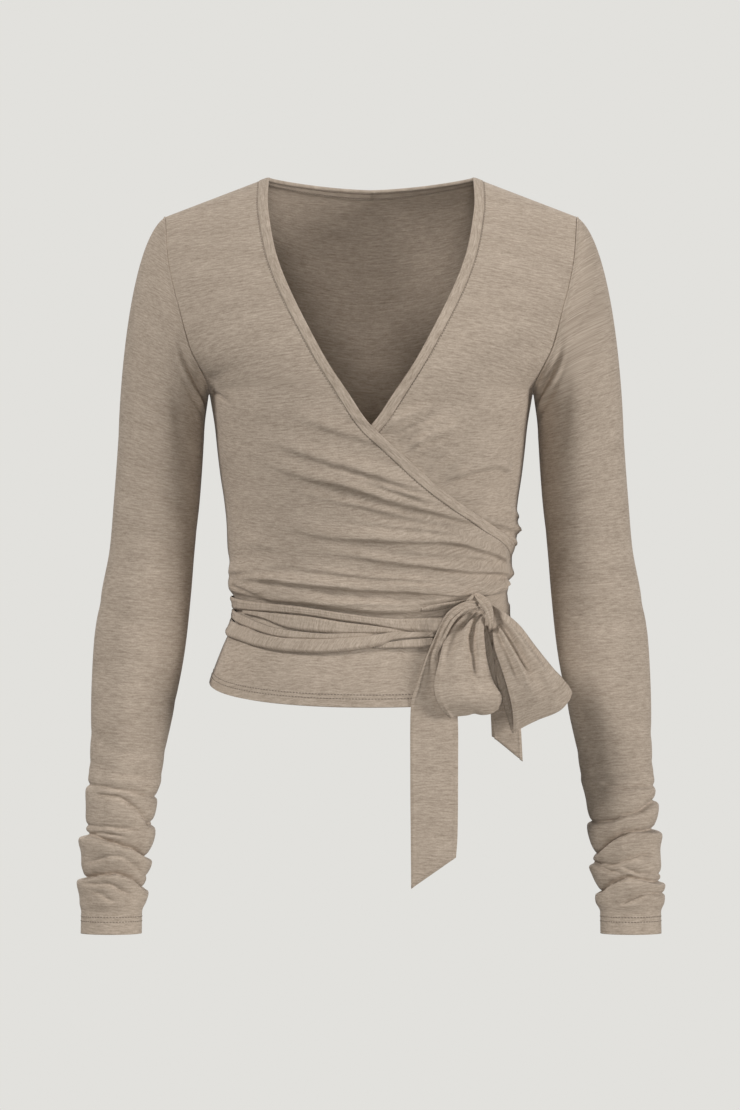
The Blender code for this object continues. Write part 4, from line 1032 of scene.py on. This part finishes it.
def underarm_puckers(points):
    """Two soft valleys beside the armhole's lower half, where the sleeve crushes its cap."""
    low = smoothstep((-np.cos(AROUND) - 0.25) / 0.6) * smoothstep(np.abs(np.sin(AROUND)) / 0.7)
    down = distances(points, 0)
    near = -5.0 * ridge(down - 9 - 3 * low, 5.0, 3.6) + 1.8 * ridge(down - 18, 4, 4)
    return low * (near - 1.6 * ridge(down - 23 - 6 * low, 4, 5))


def make_sleeve(name, rows, node, flip):
    """A sleeve with the creases of its own wrist; the left one is the mirrored grid."""
    points = sleeve_grid(rows)
    height = seam_ridge(distances(points, 0)) + underarm_puckers(points)
    points = points + grid_normals(points, closed=True) * height[..., None]
    if flip:
        points = mirrored(points)
    return piece(name, points, sleeve_courses(points), node, cloth, closed=True), points


sleeve_right, right_points = make_sleeve("sleeve_right_cloth", RIGHT_CREASES, "sleeve_right", False)
sleeve_left, left_points = make_sleeve("sleeve_left_cloth", LEFT_CREASES, "sleeve_left", True)

# %% [markdown]
# ## The tie round the waist
# The tie is one long strip, sewn into a tube and pressed flat, that goes twice round the waist and
# crumples into narrow strands. Each strand that shows is a stretch on the skin with an upper and a
# lower edge and a rounded middle. A rope of swept curves would be quicker but too round, so the
# strands are bands on the panel's own skin, with lengthwise valleys pressed into them.

# %% Strands of the tie
TIE_GAP, TIP_PUFF = 0.9, 1.8
PUFF_SCALE, EDGE_OVERLAP = 0.8, 0.35
# Rows of x, upper edge, lower edge and puff.
FRONT_STRANDS = {
    "tie_front_upper": (
        (-122.5, -344.2, -356.4, 3), (-109, -348.2, -357.2, 3.4), (-65, -353.6, -360.2, 3.8),
        (-24, -359.8, -367.2, 4), (2, -363.4, -370.6, 4), (24, -365, -375.6, 4.2),
        (55, -363.6, -378.4, 4), (76, -362, -374, 2.6),
    ),
    "tie_front_middle": (
        (-114, -357.4, -359.6, 1.2), (-99, -358.8, -363.4, 2.2), (-84, -360, -369.6, 3),
        (-73, -361, -373.4, 3.2), (-55, -363, -376.6, 3.2), (-24, -368.4, -378.6, 3.2),
        (2, -371.6, -378.4, 2.8), (18, -374, -377.6, 2), (34, -375.6, -377.6, 0.6),
    ),
    "tie_front_crossing": (
        (-123, -356.4, -364.4, 2.6), (-114, -362.4, -371, 2.8), (-99, -369.6, -376.8, 2.8),
        (-82, -375, -381.4, 2.6), (-64, -377.4, -383.4, 2.4), (-40, -379.2, -383.6, 2.2),
        (-12, -378.6, -381.6, 1.8), (8, -377.6, -379.4, 0.6),
    ),
    "tie_front_lower": (
        (-126.5, -366.8, -379, 3), (-114, -373.6, -385.6, 3.4), (-99, -379.2, -390.6, 3.8),
        (-73, -383.4, -395, 4), (-46, -383.8, -396.2, 4), (-24, -382.6, -394.6, 4),
        (-9, -381.4, -392.6, 3.8), (9, -379.2, -389, 3.6), (20, -377.6, -384.6, 3.2),
        (36, -377.6, -382.8, 2.8), (55, -378, -382.2, 2.4),
    ),
    "tie_front_lowest": (
        (2, -389.4, -391.4, 0.4), (18, -386.4, -391.8, 2.2), (37, -384.2, -391.6, 2.8),
        (55, -383, -390.4, 2.8),
    ),
    "tie_front_end": (
        (44, -355, -358, 0.3), (56, -350.4, -357, 1.8), (70, -347, -354, 2.8),
        (80, -344.4, -350.6, 3), (88.5, -342.4, -348.4, 2.6),
    ),
}
# The same with turns.
BACK_STRANDS = {
    "tie_back_upper": (
        (3.5, -325, -333, 2.4), (4.2, -331, -340, 3.4), (4.9, -337, -347, 3.6),
        (5.7, -342, -352.5, 3.4), (6.26, -344.2, -356.4, 3),
    ),
    "tie_back_lower": (
        (3.5, -334, -342, 2.4), (4.2, -342, -353, 3.4), (4.9, -350, -365, 4), (5.7, -356, -375, 4),
        (6.26, -356.8, -379, 3.2),
    ),
}


STRAND_CELL, STRAND_ROWS = 1.6, 16
# Depth, place across, sway, later wave, and reach up and down of a strand's valleys.
STRAND_VALLEYS = ((0.20, 0.36, 0.07, 0, 0.10, 0.07), (0.16, 0.68, -0.06, 2, 0.08, 0.10))


def strand(places, rows, height, side, seed):
    """A stretch of the tie over height(turn, z), with a rounded middle and two valleys along it."""
    columns = max(12, int((places[-1] - places[0]) * BODY_RADIUS / STRAND_CELL))
    turn = np.linspace(places[0], places[-1], columns + 1)[None, :]
    high, low = smooth(turn, places, rows["upper"]), smooth(turn, places, rows["lower"])
    across = spread(STRAND_ROWS)[:, None]
    z = high + EDGE_OVERLAP + (low - high - 2 * EDGE_OVERLAP) * across
    puff = smooth(turn, places, rows["puff"])
    along = turn * BODY_RADIUS
    valleys = sum(
        deep * ridge(across - place - sway * waver(along, seed + later), up, down)
        for deep, place, sway, later, up, down in STRAND_VALLEYS
    )
    off_middle = 2 * across - 1
    arch = PUFF_SCALE * puff * (1 - off_middle ** 6)
    arch = arch * (0.86 + 0.14 * (1 - off_middle ** 2) - valleys)
    tucked = np.minimum(puff / TIP_PUFF, 1)
    out = height(turn, z) + (TIE_GAP + BAND_THICKNESS) * tucked + arch
    points = skin(turn, z) + outward(turn, z) * out[..., None]
    points[..., 1] = side * np.maximum(side * points[..., 1], SEAM_Y)
    return points


def strip_uv(points):
    """UV of a strip cut along the courses' own direction: its length runs down the cloth."""
    return np.stack([distances(points, 0), -distances(points, 1)], axis=-1)


def make_strand(node, places, rows, height, side, seed):
    """A strand's piece and its grid."""
    points = strand(places, rows, height, side, seed)
    made = piece(node + "_strand", points, strip_uv(points), node, tie_cloth, BAND_THICKNESS)
    return made, points


BACK_SEED = 7
strands = []
for number, (node, rows) in enumerate(FRONT_STRANDS.items()):
    rows = table("x upper lower puff", *rows)
    places = turn_at(rows["x"], (rows["upper"] + rows["lower"]) / 2)
    strands.append(make_strand(node, places, rows, over_height, -1, number))
for number, (node, rows) in enumerate(BACK_STRANDS.items(), BACK_SEED):
    rows = table("turn upper lower puff", *rows)
    strands.append(make_strand(node, rows["turn"], rows, side_pull, 1, number))

# %% [markdown]
# ## The bow
# The same strip makes two loops and two ends. A ribbon is known by its two edges, row by row, and
# by how far its middle stands out. Smooth curves run through the rows, and lengthwise folds are
# added by a small table: their place across the ribbon at its start and end, their height and
# width.

# %% Loops, ends and knot
EDGES = "left_x left_z left_y right_x right_z right_y arch"
BOW_END_LONG = table(
    EDGES,
    (99, -351, -84, 100, -355, -86, 0.3), (91.5, -348.6, -91, 95, -355, -94, 1.6),
    (81.5, -350.4, -93, 86, -357.4, -96, 2.6), (69.5, -358.2, -93, 76, -365.8, -98, 3.2),
    (62.6, -368.6, -94, 69.6, -376, -99, 3.2), (57, -380.6, -95, 64.8, -387, -98.5, 3),
    (50, -397.1, -97, 60.4, -402.5, -96, 3), (41, -423.2, -101, 72, -431, -95, 2.4),
    (35.5, -443.2, -104, 77.4, -450.5, -98, 1.5), (35, -503.2, -103, 77.8, -503.2, -100, 1.5),
    (35.4, -557.8, -102, 77.4, -555.8, -101, 1), (35.8, -606.2, -101, 76, -578.2, -101, 0.5),
)
BOW_END_SHORT = table(
    EDGES,
    (102.3, -371.1, -76, 108.4, -371.1, -76, 0.3), (104, -394, -76, 124.7, -394, -75, 0.8),
    (106, -430.4, -82.5, 131, -430.4, -78, 0.8), (107.4, -453.2, -88, 133.8, -453.2, -83, 1),
    (108.3, -470, -90, 136, -492.6, -87, 0.5),
)
BOW_LOOP_RIGHT = table(
    EDGES + " sag",
    (95.2, -355.4, -80, 103, -358, -80, 0.5, 0), (85.5, -359.5, -88, 102.5, -365, -90, 2, 0),
    (74.5, -369, -93, 101, -375.5, -97, 4.6, 0), (65.5, -384, -98, 102, -388.5, -101, 6.6, 0),
    (60.5, -402.5, -107, 104, -402.5, -104, 7, 1), (56.4, -423.3, -111, 109.2, -420.3, -107, 7, 3),
    (60, -440, -113, 116.6, -433, -109, 5, 7), (70, -453, -108, 116, -441, -104, 1, 12),
    (61, -438, -103, 115, -431.5, -98, -1, 6), (58, -421.3, -101.5, 112, -420.3, -95, -1, 2),
    (62.5, -399.5, -98, 109.5, -399.5, -91, -1, 0), (72, -379, -94, 106, -380, -87, -1, 0),
    (90, -365.5, -79, 101, -367.5, -76, 0, 0),
)
BOW_LOOP_LEFT = table(
    EDGES + " sag",
    (108.8, -362, -80, 109.5, -353, -80, 0.5, 0), (108.6, -376.9, -90, 119.5, -359, -88, 2.5, 0),
    (110.7, -392.2, -99, 133.6, -371, -95, 5, 0), (116.6, -409.5, -107, 147.6, -389.5, -100, 8, 1),
    (122.4, -428.5, -111, 163.2, -409, -104, 8.5, 4), (126.4, -448, -109, 176.4, -424, -103, 5, 9),
    (126.8, -467.5, -100, 179.8, -431, -98, 0, 17), (120, -445, -91, 171, -417, -90, -1, 9),
    (112.5, -420, -85.5, 152, -399, -85, -1, 3), (109, -399, -83, 135.5, -380.5, -82, -1, 0),
    (109.4, -383.5, -81, 122, -366.5, -79, -1, 0), (110.2, -370, -78, 111.6, -360.5, -77, 0, 0),
)
KNOT_TURN = table(
    EDGES,
    (91.6, -344.5, -79, 92.4, -341.5, -78, 0.2), (92.6, -344.6, -84, 96.4, -341.6, -81, 1),
    (95.8, -349.3, -91, 102.4, -345, -87, 1.8), (99.4, -354.4, -95, 106.8, -349.8, -91, 2.2),
    (102.4, -359.4, -97, 109, -355.6, -94, 2.2), (104, -365, -98, 109.8, -362, -95, 2),
    (104.6, -371, -96, 109.6, -369.2, -94, 1.4), (104.8, -377.5, -88, 108, -376.6, -87, 0.5),
)
KNOT_FLAP = table(
    EDGES,
    (93.4, -342.6, -82, 94, -344.4, -81, 0.1), (90.6, -343.6, -87, 94.6, -347, -84, 0.6),
    (87.6, -346.4, -90, 94.4, -350.6, -84, 0.8), (84.4, -350.6, -88, 95.4, -354, -82, 0.4),
)
# Folds along a ribbon: place across at both ends, part of its length, height and half width.
LONG_FOLDS = (
    (0.07, 0.055, -0.1, 1.1, 0.5, 1.1), (0.93, 0.945, -0.1, 1.1, 0.5, 1.1),
    (0.34, 0.36, -0.05, 0.62, -1.8, 1.7), (0.68, 0.7, -0.05, 0.5, -1.6, 1.3),
    (0.52, 0.54, 0, 0.52, 0.7, 1.5), (0.6, 0.3, 0.34, 0.72, -1, 5),
)
SHORT_FOLDS = (
    (0.08, 0.08, -0.1, 1.1, 0.4, 1), (0.92, 0.92, -0.1, 1.1, 0.4, 1),
    (0.4, 0.52, -0.05, 0.8, -0.8, 2.6),
)
RIGHT_LOOP_FOLDS = (
    (0.06, 0.06, -0.1, 1.1, 0.5, 1.1), (0.94, 0.94, -0.1, 1.1, 0.5, 1.1),
    (0.58, 0.74, 0.02, 0.46, -4.2, 3.4), (0.34, 0.16, 0.06, 0.4, -3, 3.6),
    (0.76, 0.88, 0.02, 0.36, 2.2, 2.4), (0.44, 0.5, 0.01, 0.3, 2.2, 3),
    (0.24, 0.4, 0.01, 0.26, -2.4, 2), (0.62, 0.56, 0.34, 0.52, -1.8, 4.4),
    (0.48, 0.46, 0.52, 0.95, -1.8, 4),
)
KNOT_FOLDS = (
    (0.12, 0.12, -0.1, 1.1, 0.4, 0.8), (0.42, 0.55, 0.1, 0.95, -1.5, 1.2),
    (0.74, 0.8, 0.15, 0.9, -0.9, 0.9),
)
FLAP_FOLDS = ((0.45, 0.50, 0.1, 0.9, -0.7, 1.6),)
LEFT_LOOP_FOLDS = (
    (0.06, 0.06, -0.1, 1.1, 0.5, 1.1), (0.94, 0.94, -0.1, 1.1, 0.5, 1.1),
    (0.34, 0.26, 0.06, 0.4, -3.2, 2.6), (0.58, 0.5, 0.05, 0.4, -5.6, 3.2),
    (0.45, 0.38, 0.05, 0.44, 2.6, 3), (0.74, 0.8, 0.06, 0.44, 1.8, 3.6),
    (0.86, 0.9, 0.1, 0.4, -1.4, 2.4), (0.66, 0.62, 0.3, 0.5, -1.6, 4.4),
    (0.48, 0.46, 0.52, 0.95, -1.6, 4),
)


def catmull(at, values):
    """Catmull-Rom curve through values at 0, 1, 2, ..."""
    padded = np.concatenate([[2 * values[0] - values[1]], values, [2 * values[-1] - values[-2]]])
    cell = np.clip(at.astype(int), 0, len(values) - 2)
    t = at - cell
    a, b, c, d = (padded[cell + k] for k in range(4))
    return b + 0.5 * t * (c - a + t * (2 * a - 5 * b + 4 * c - d + t * (3 * (b - c) + d - a)))


def through(columns):
    """Smooth curve through the rows of some columns, with ROW_STEPS points for each row."""
    at = np.arange((len(columns[0]) - 1) * ROW_STEPS + 1) / ROW_STEPS
    return np.stack([catmull(at, column) for column in columns], axis=-1)


ROW_STEPS, RIBBON_COLUMNS, RIBBON_PULL, RIBBON_FOLD_SCALE = 9, 30, 0.5, 1.35
RIBBON_WAVER, RIBBON_FADE_IN, RIBBON_FADE_OUT = 0.012, 0.08, 0.12


def ribbon(edges, lines, seed):
    """A ribbon between two edge curves, arched in its middle, with folds along it."""
    left, right = (through([edges[side + "_" + k] for k in "xyz"]) for side in ("left", "right"))
    arch = through([edges["arch"]])[:, :, None]
    share = spread(RIBBON_COLUMNS, RIBBON_PULL)[None, :, None]
    points = left[:, None] + (right - left)[:, None] * share
    if "sag" in edges:
        points[..., 2] -= through([edges["sag"]]) * (share ** 2 * (1 - share ** 6))[..., 0]
    along = np.gradient(points, axis=0)
    normal = np.cross((right - left)[:, None] * np.ones_like(points), along)
    normal /= np.linalg.norm(normal, axis=-1, keepdims=True)
    height = arch * (1 - (2 * share - 1) ** 2)
    width = np.linalg.norm(right - left, axis=-1)[:, None, None]
    run = np.linspace(0, 1, len(left))[:, None, None]
    length = distances(points, 0)[-1, RIBBON_COLUMNS // 2]
    for number, (first, last, start, end, tall, half) in enumerate(lines):
        place = first + (last - first) * np.clip((run - start) / (end - start), 0, 1)
        place = place + RIBBON_WAVER * waver(run * length, seed + number)
        ends = smoothstep((run - start) / RIBBON_FADE_IN)
        ends = ends * smoothstep((end - run) / RIBBON_FADE_OUT)
        across = (share - place) * width / half
        height = height + RIBBON_FOLD_SCALE * tall * ends * np.exp(-across ** 2)
    return points - normal * height


def bow_piece(name, node, edges, lines, level, seed):
    """A ribbon of the bow, whose courses run straight across it at the table's row called level."""
    points = ribbon(edges, lines, seed)
    down = distances(points, 0)
    uv = np.stack([distances(points, 1), down[level * ROW_STEPS] - down], axis=-1)
    return piece(name, points, uv, node, tie_cloth, BAND_THICKNESS), points


BOW = (
    # name, node, edges, folds, level row
    ("bow_end_long_ribbon", "bow_end_long", BOW_END_LONG, LONG_FOLDS, 9),
    ("bow_end_short_ribbon", "bow_end_short", BOW_END_SHORT, SHORT_FOLDS, 2),
    ("bow_loop_right_ribbon", "bow_loop_right", BOW_LOOP_RIGHT, RIGHT_LOOP_FOLDS, 5),
    ("bow_loop_left_ribbon", "bow_loop_left", BOW_LOOP_LEFT, LEFT_LOOP_FOLDS, 5),
    ("bow_knot_ribbon", "bow_knot", KNOT_TURN, KNOT_FOLDS, 4),
    ("bow_knot_flap", "bow_knot", KNOT_FLAP, FLAP_FOLDS, 1),
)
ribbons = [bow_piece(*row, seed) for seed, row in enumerate(BOW, 1)]

# %% [markdown]
# ## Sewing
# The hem and the cuffs are turned up and held by two rows of stitches, and a row runs beside each
# seam of the bands. A texture could draw them, but threads stand out of the cloth and catch the
# light, so each stitch is a small capsule of thread laid along a line of the finished surface. The
# thread is darker than the cloth. Part of that is its own colour and part is painted shade, so
# that the rows show as dark dots.

# %% Rows of stitches
def row_line(points, heights):
    """The line where a grid's surface passes each column's height, with the surface's normals."""
    columns = np.arange(points.shape[1])
    z = points[..., 2]
    row = np.clip(np.argmax(z <= heights, axis=0), 1, len(points) - 1)
    high, low = z[row - 1, columns], z[row, columns]
    t = np.clip((high - heights) / np.maximum(high - low, 1e-6), 0, 1)[:, None]
    line = points[row - 1, columns] * (1 - t) + points[row, columns] * t
    return line, grid_normals(points)[row, columns]


def beside_band(points, band):
    """A line on a panel just beside its band, which is first or last, and its normals."""
    across = distances(points, 1)
    gap = across[:, -1:] - across if band == "last" else across
    rows, column = np.arange(len(points)), np.argmin(np.abs(gap - EDGE_STITCH_GAP), axis=1)
    return points[rows, column], grid_normals(points)[rows, column]


def along_line(at, run, values):
    """Rows of an array, read at other distances along it."""
    return np.stack([np.interp(at, run, values[:, k]) for k in range(3)], axis=-1)


def stitches(name, lines, pitch, length, radius, slant=0.0):
    """Capsules of thread along lines; slant turns each one against the line, in radians."""
    angle = np.arange(STITCH_SIDES) * 2 * math.pi / STITCH_SIDES
    ring = np.stack([np.cos(angle), np.sin(angle)], axis=-1)
    template = np.concatenate([
        np.column_stack([np.full(STITCH_SIDES, along * length), ring * radius * wide])
        for along, wide in STITCH_SHAPE
    ])
    index = np.arange(len(template)).reshape(-1, STITCH_SIDES)
    faces = cells(closed_up(index)).reshape(-1, 4)
    vertices = []
    for line, normals in lines:
        run = distances(line, 0)
        at = np.arange(pitch / 2, run[-1], pitch)
        along = unit(along_line(at + 0.5, run, line) - along_line(at - 0.5, run, line))
        normal = along_line(at, run, normals)
        normal = unit(normal - along * (normal * along).sum(-1, keepdims=True))
        turned = along * math.cos(slant) + np.cross(normal, along) * math.sin(slant)
        basis = np.stack([turned, np.cross(normal, turned), normal], axis=1)
        placed = np.einsum("vk,skj->svj", template, basis) + along_line(at, run, line)[:, None]
        vertices.append(placed.reshape(-1, 3))
    vertices = np.concatenate(vertices)
    starts = np.arange(0, len(vertices), len(template))
    faces = (faces[None] + starts[:, None, None]).reshape(-1, 4)
    print(name, len(starts), "stitches")
    return textile(name, vertices, faces, np.zeros((len(faces), 8)), painted_shade_thread)


# A stitch's places along its length and its width there, as shares of its length and radius.
STITCH_SIDES = 6
STITCH_SHAPE = ((-0.5, 0.05), (-0.42, 0.75), (0, 1), (0.42, 0.75), (0.5, 0.05))
PITCH, EDGE_STITCH_GAP = 2.9, 0.9
HEM_ROWS, CUFF_ROWS = (7.4, 11.0), (11.4, 15.6)
NECK_SEAM_ROWS, NECK_STITCH_LIFT = (3, 9), 0.2

hem_lines = [
    row_line(points, points[-1, :, 2] + up)
    for up in HEM_ROWS for points in (over_points, back_points)
]
hem_stitches = stitches("hem_stitches", hem_lines, PITCH, 2.0, 0.42)
under_lines = [row_line(under_points, under_points[-1, :, 2] + up) for up in HEM_ROWS]
under_stitches = stitches("hem_stitches_under", under_lines, PITCH, 1.9, 0.36)
right_cuff_stitches, left_cuff_stitches = (
    stitches(name, [row_line(closed_up(points), CUFF_Z + up) for up in CUFF_ROWS], PITCH, 2.0, 0.42)
    for name, points in (("cuff_stitches_right", right_points), ("cuff_stitches_left", left_points))
)
over_edge_stitches, under_edge_stitches = (
    stitches(name, [beside_band(points, band)], PITCH, 1.8, 0.3)
    for name, points, band in (
        ("edge_stitches_over", over_points, "last"), ("edge_stitches_under", under_points, "first"),
    )
)
inward = -grid_normals(neck_band)
neck_lines = [
    (neck_band[row] + inward[row] * (NECKBAND_THICKNESS + NECK_STITCH_LIFT), inward[row])
    for row in NECK_SEAM_ROWS
]
neck_stitches = stitches("neck_stitches", neck_lines, 2.6, 2.2, 0.5, slant=0.6)

# %% [markdown]
# ## The cloth as it is cut
# Each piece's flat size is worked out from its grid and printed. The sizes are the true lengths
# along the grids, with what the gathers and the wrists take up. No width is printed under 10.2 mm,
# so one binding is printed 0.4 mm wider than it is. One binding is declared 0.4 mm wider than it
# is, because the table check takes nothing under 10 mm.

# %% Flat sizes
def flat_size(points, closed=False):
    """Widest row, longest column and area of a grid, in millimetres."""
    if closed:
        points = closed_up(points)
    a = np.cross(points[1:, :-1] - points[:-1, :-1], points[:-1, 1:] - points[:-1, :-1])
    b = np.cross(points[1:, 1:] - points[:-1, 1:], points[1:, 1:] - points[1:, :-1])
    area = (np.linalg.norm(a, axis=-1) + np.linalg.norm(b, axis=-1)).sum() / 2
    return distances(points, 1)[:, -1].max(), distances(points, 0)[-1].max(), area


# The table check takes no size under 10 mm, and the left front's binding measures only 9.8.
LEAST_CUT = 10.2


def cut(made, points, closed=False, sideways=False):
    """Print a sheet's flat size from its grid, whose rows run along its length if it lies sideways.
    """
    width, length, area = flat_size(points, closed)
    if sideways:
        width, length = length, width
    width = max(width, LEAST_CUT)
    share = min(area / (width * length), 1.0)
    area_m2 = share * width * length * MM ** 2
    print(f"{made.name}: {width:.0f} x {length:.0f} mm, {area / 1e6:.4f} m2")


cut(front_over, over_points)
cut(front_under, under_points)
cut(back, back_points)
for made, points, front, sewing in (
    (sleeve_right, right_points, "front_over_cloth", right_cuff_stitches),
    (sleeve_left, left_points, "front_under_cloth", left_cuff_stitches),
):
    cut(made, points, closed=True)
cut(binding_over, over_band)
cut(binding_under, under_band)
cut(neckband_back, neck_band, sideways=True)
for made, points in strands:
    cut(made, points, sideways=True)
for made, points in ribbons:
    cut(made, points)

# %% [markdown]
# ## Floor, light and camera
# A photographer would hang the top against plain paper and light it with large soft boxes. Area
# lights would do, but suns as wide as a soft box give the same soft edges with no fall-off to
# balance. A high one on the left models the folds, a low one on the right lights the other side,
# one just below the camera reaches into the neck, and one behind lights the back. The world looks
# like paper but gives little light of its own. A small floor of the same paper lies far below, so
# that it doesn't light the undersides.

# %% Stage
BACKGROUND = (0.760, 0.752, 0.723, 1.0)
WORLD_LIGHT = 0.02
SUNS = table(
    "azimuth elevation strength width",
    (-62, 39, 2.25, 16), (0, -4, 1.15, 18), (67, 9, 2.45, 22), (180, 42, 2.3, 60),
)


def sun(name, azimuth, elevation, strength, width):
    """A sun, all in degrees; azimuth is 0 in front and positive to the picture's right."""
    turn, rise = math.radians(azimuth), math.radians(elevation)
    light = bpy.data.lights.new(name, "SUN")
    light.energy = strength
    light.angle = math.radians(width)
    made = linked(name, light)
    level = math.cos(rise)
    travel = Vector((-math.sin(turn) * level, math.cos(turn) * level, -math.sin(rise)))
    made.rotation_mode = "QUATERNION"
    made.rotation_quaternion = travel.to_track_quat("-Z", "Y")
    return made


suns = [sun(f"sun_{number}", *row) for number, row in enumerate(zip(*SUNS.values()))]

world = bpy.data.worlds.new("studio")
bpy.context.scene.world = world
world.use_nodes = True
tree = world.node_tree
seen = tree.nodes["Background"]
seen.inputs["Color"].default_value = BACKGROUND
lighting = tree.nodes.new("ShaderNodeBackground")
lighting.inputs["Color"].default_value = BACKGROUND
lighting.inputs["Strength"].default_value = WORLD_LIGHT
ray = tree.nodes.new("ShaderNodeLightPath")
either = tree.nodes.new("ShaderNodeMixShader")
tree.links.new(ray.outputs["Is Camera Ray"], either.inputs[0])
tree.links.new(lighting.outputs[0], either.inputs[1])
tree.links.new(seen.outputs[0], either.inputs[2])
tree.links.new(either.outputs[0], tree.nodes["World Output"].inputs["Surface"])

FLOOR_Z, FLOOR_RADIUS, FLOOR_SIDES = -2.2, 1.5, 96
angle = np.linspace(0, 2 * math.pi, FLOOR_SIDES + 1)[:-1]
rim = [(FLOOR_RADIUS * math.cos(a), FLOOR_RADIUS * math.sin(a), FLOOR_Z) for a in angle]
floor_mesh = bpy.data.meshes.new("floor")
floor_mesh.from_pydata(rim, [], [list(range(FLOOR_SIDES))])
floor_paper = Finish("floor_paper")
floor_paper.surface(Base_Color=BACKGROUND, Roughness=1.0, Specular_IOR_Level=0.0)
floor_mesh.materials.append(floor_paper.material)
linked("floor", floor_mesh)
print("lights:", len(suns))

# Metres to the camera, the height that the picture shows there, and the film's size in millimetres.
DISTANCE, PICTURE_HEIGHT, FILM = 6.0, 1.010, 36.0
CAMERA_X, CAMERA_Z = -0.001, -0.3076
camera_data = bpy.data.cameras.new("camera")
camera_data.sensor_fit = "AUTO"
camera_data.sensor_width = FILM
camera_data.lens = FILM * DISTANCE / PICTURE_HEIGHT
camera = linked("camera", camera_data)
camera.location = (CAMERA_X, -DISTANCE, CAMERA_Z)
camera.rotation_euler = (math.radians(90), 0, 0)
bpy.context.scene.camera = camera
bpy.context.scene.view_settings.view_transform = "Standard"
print("lens:", round(camera_data.lens, 1), "mm")
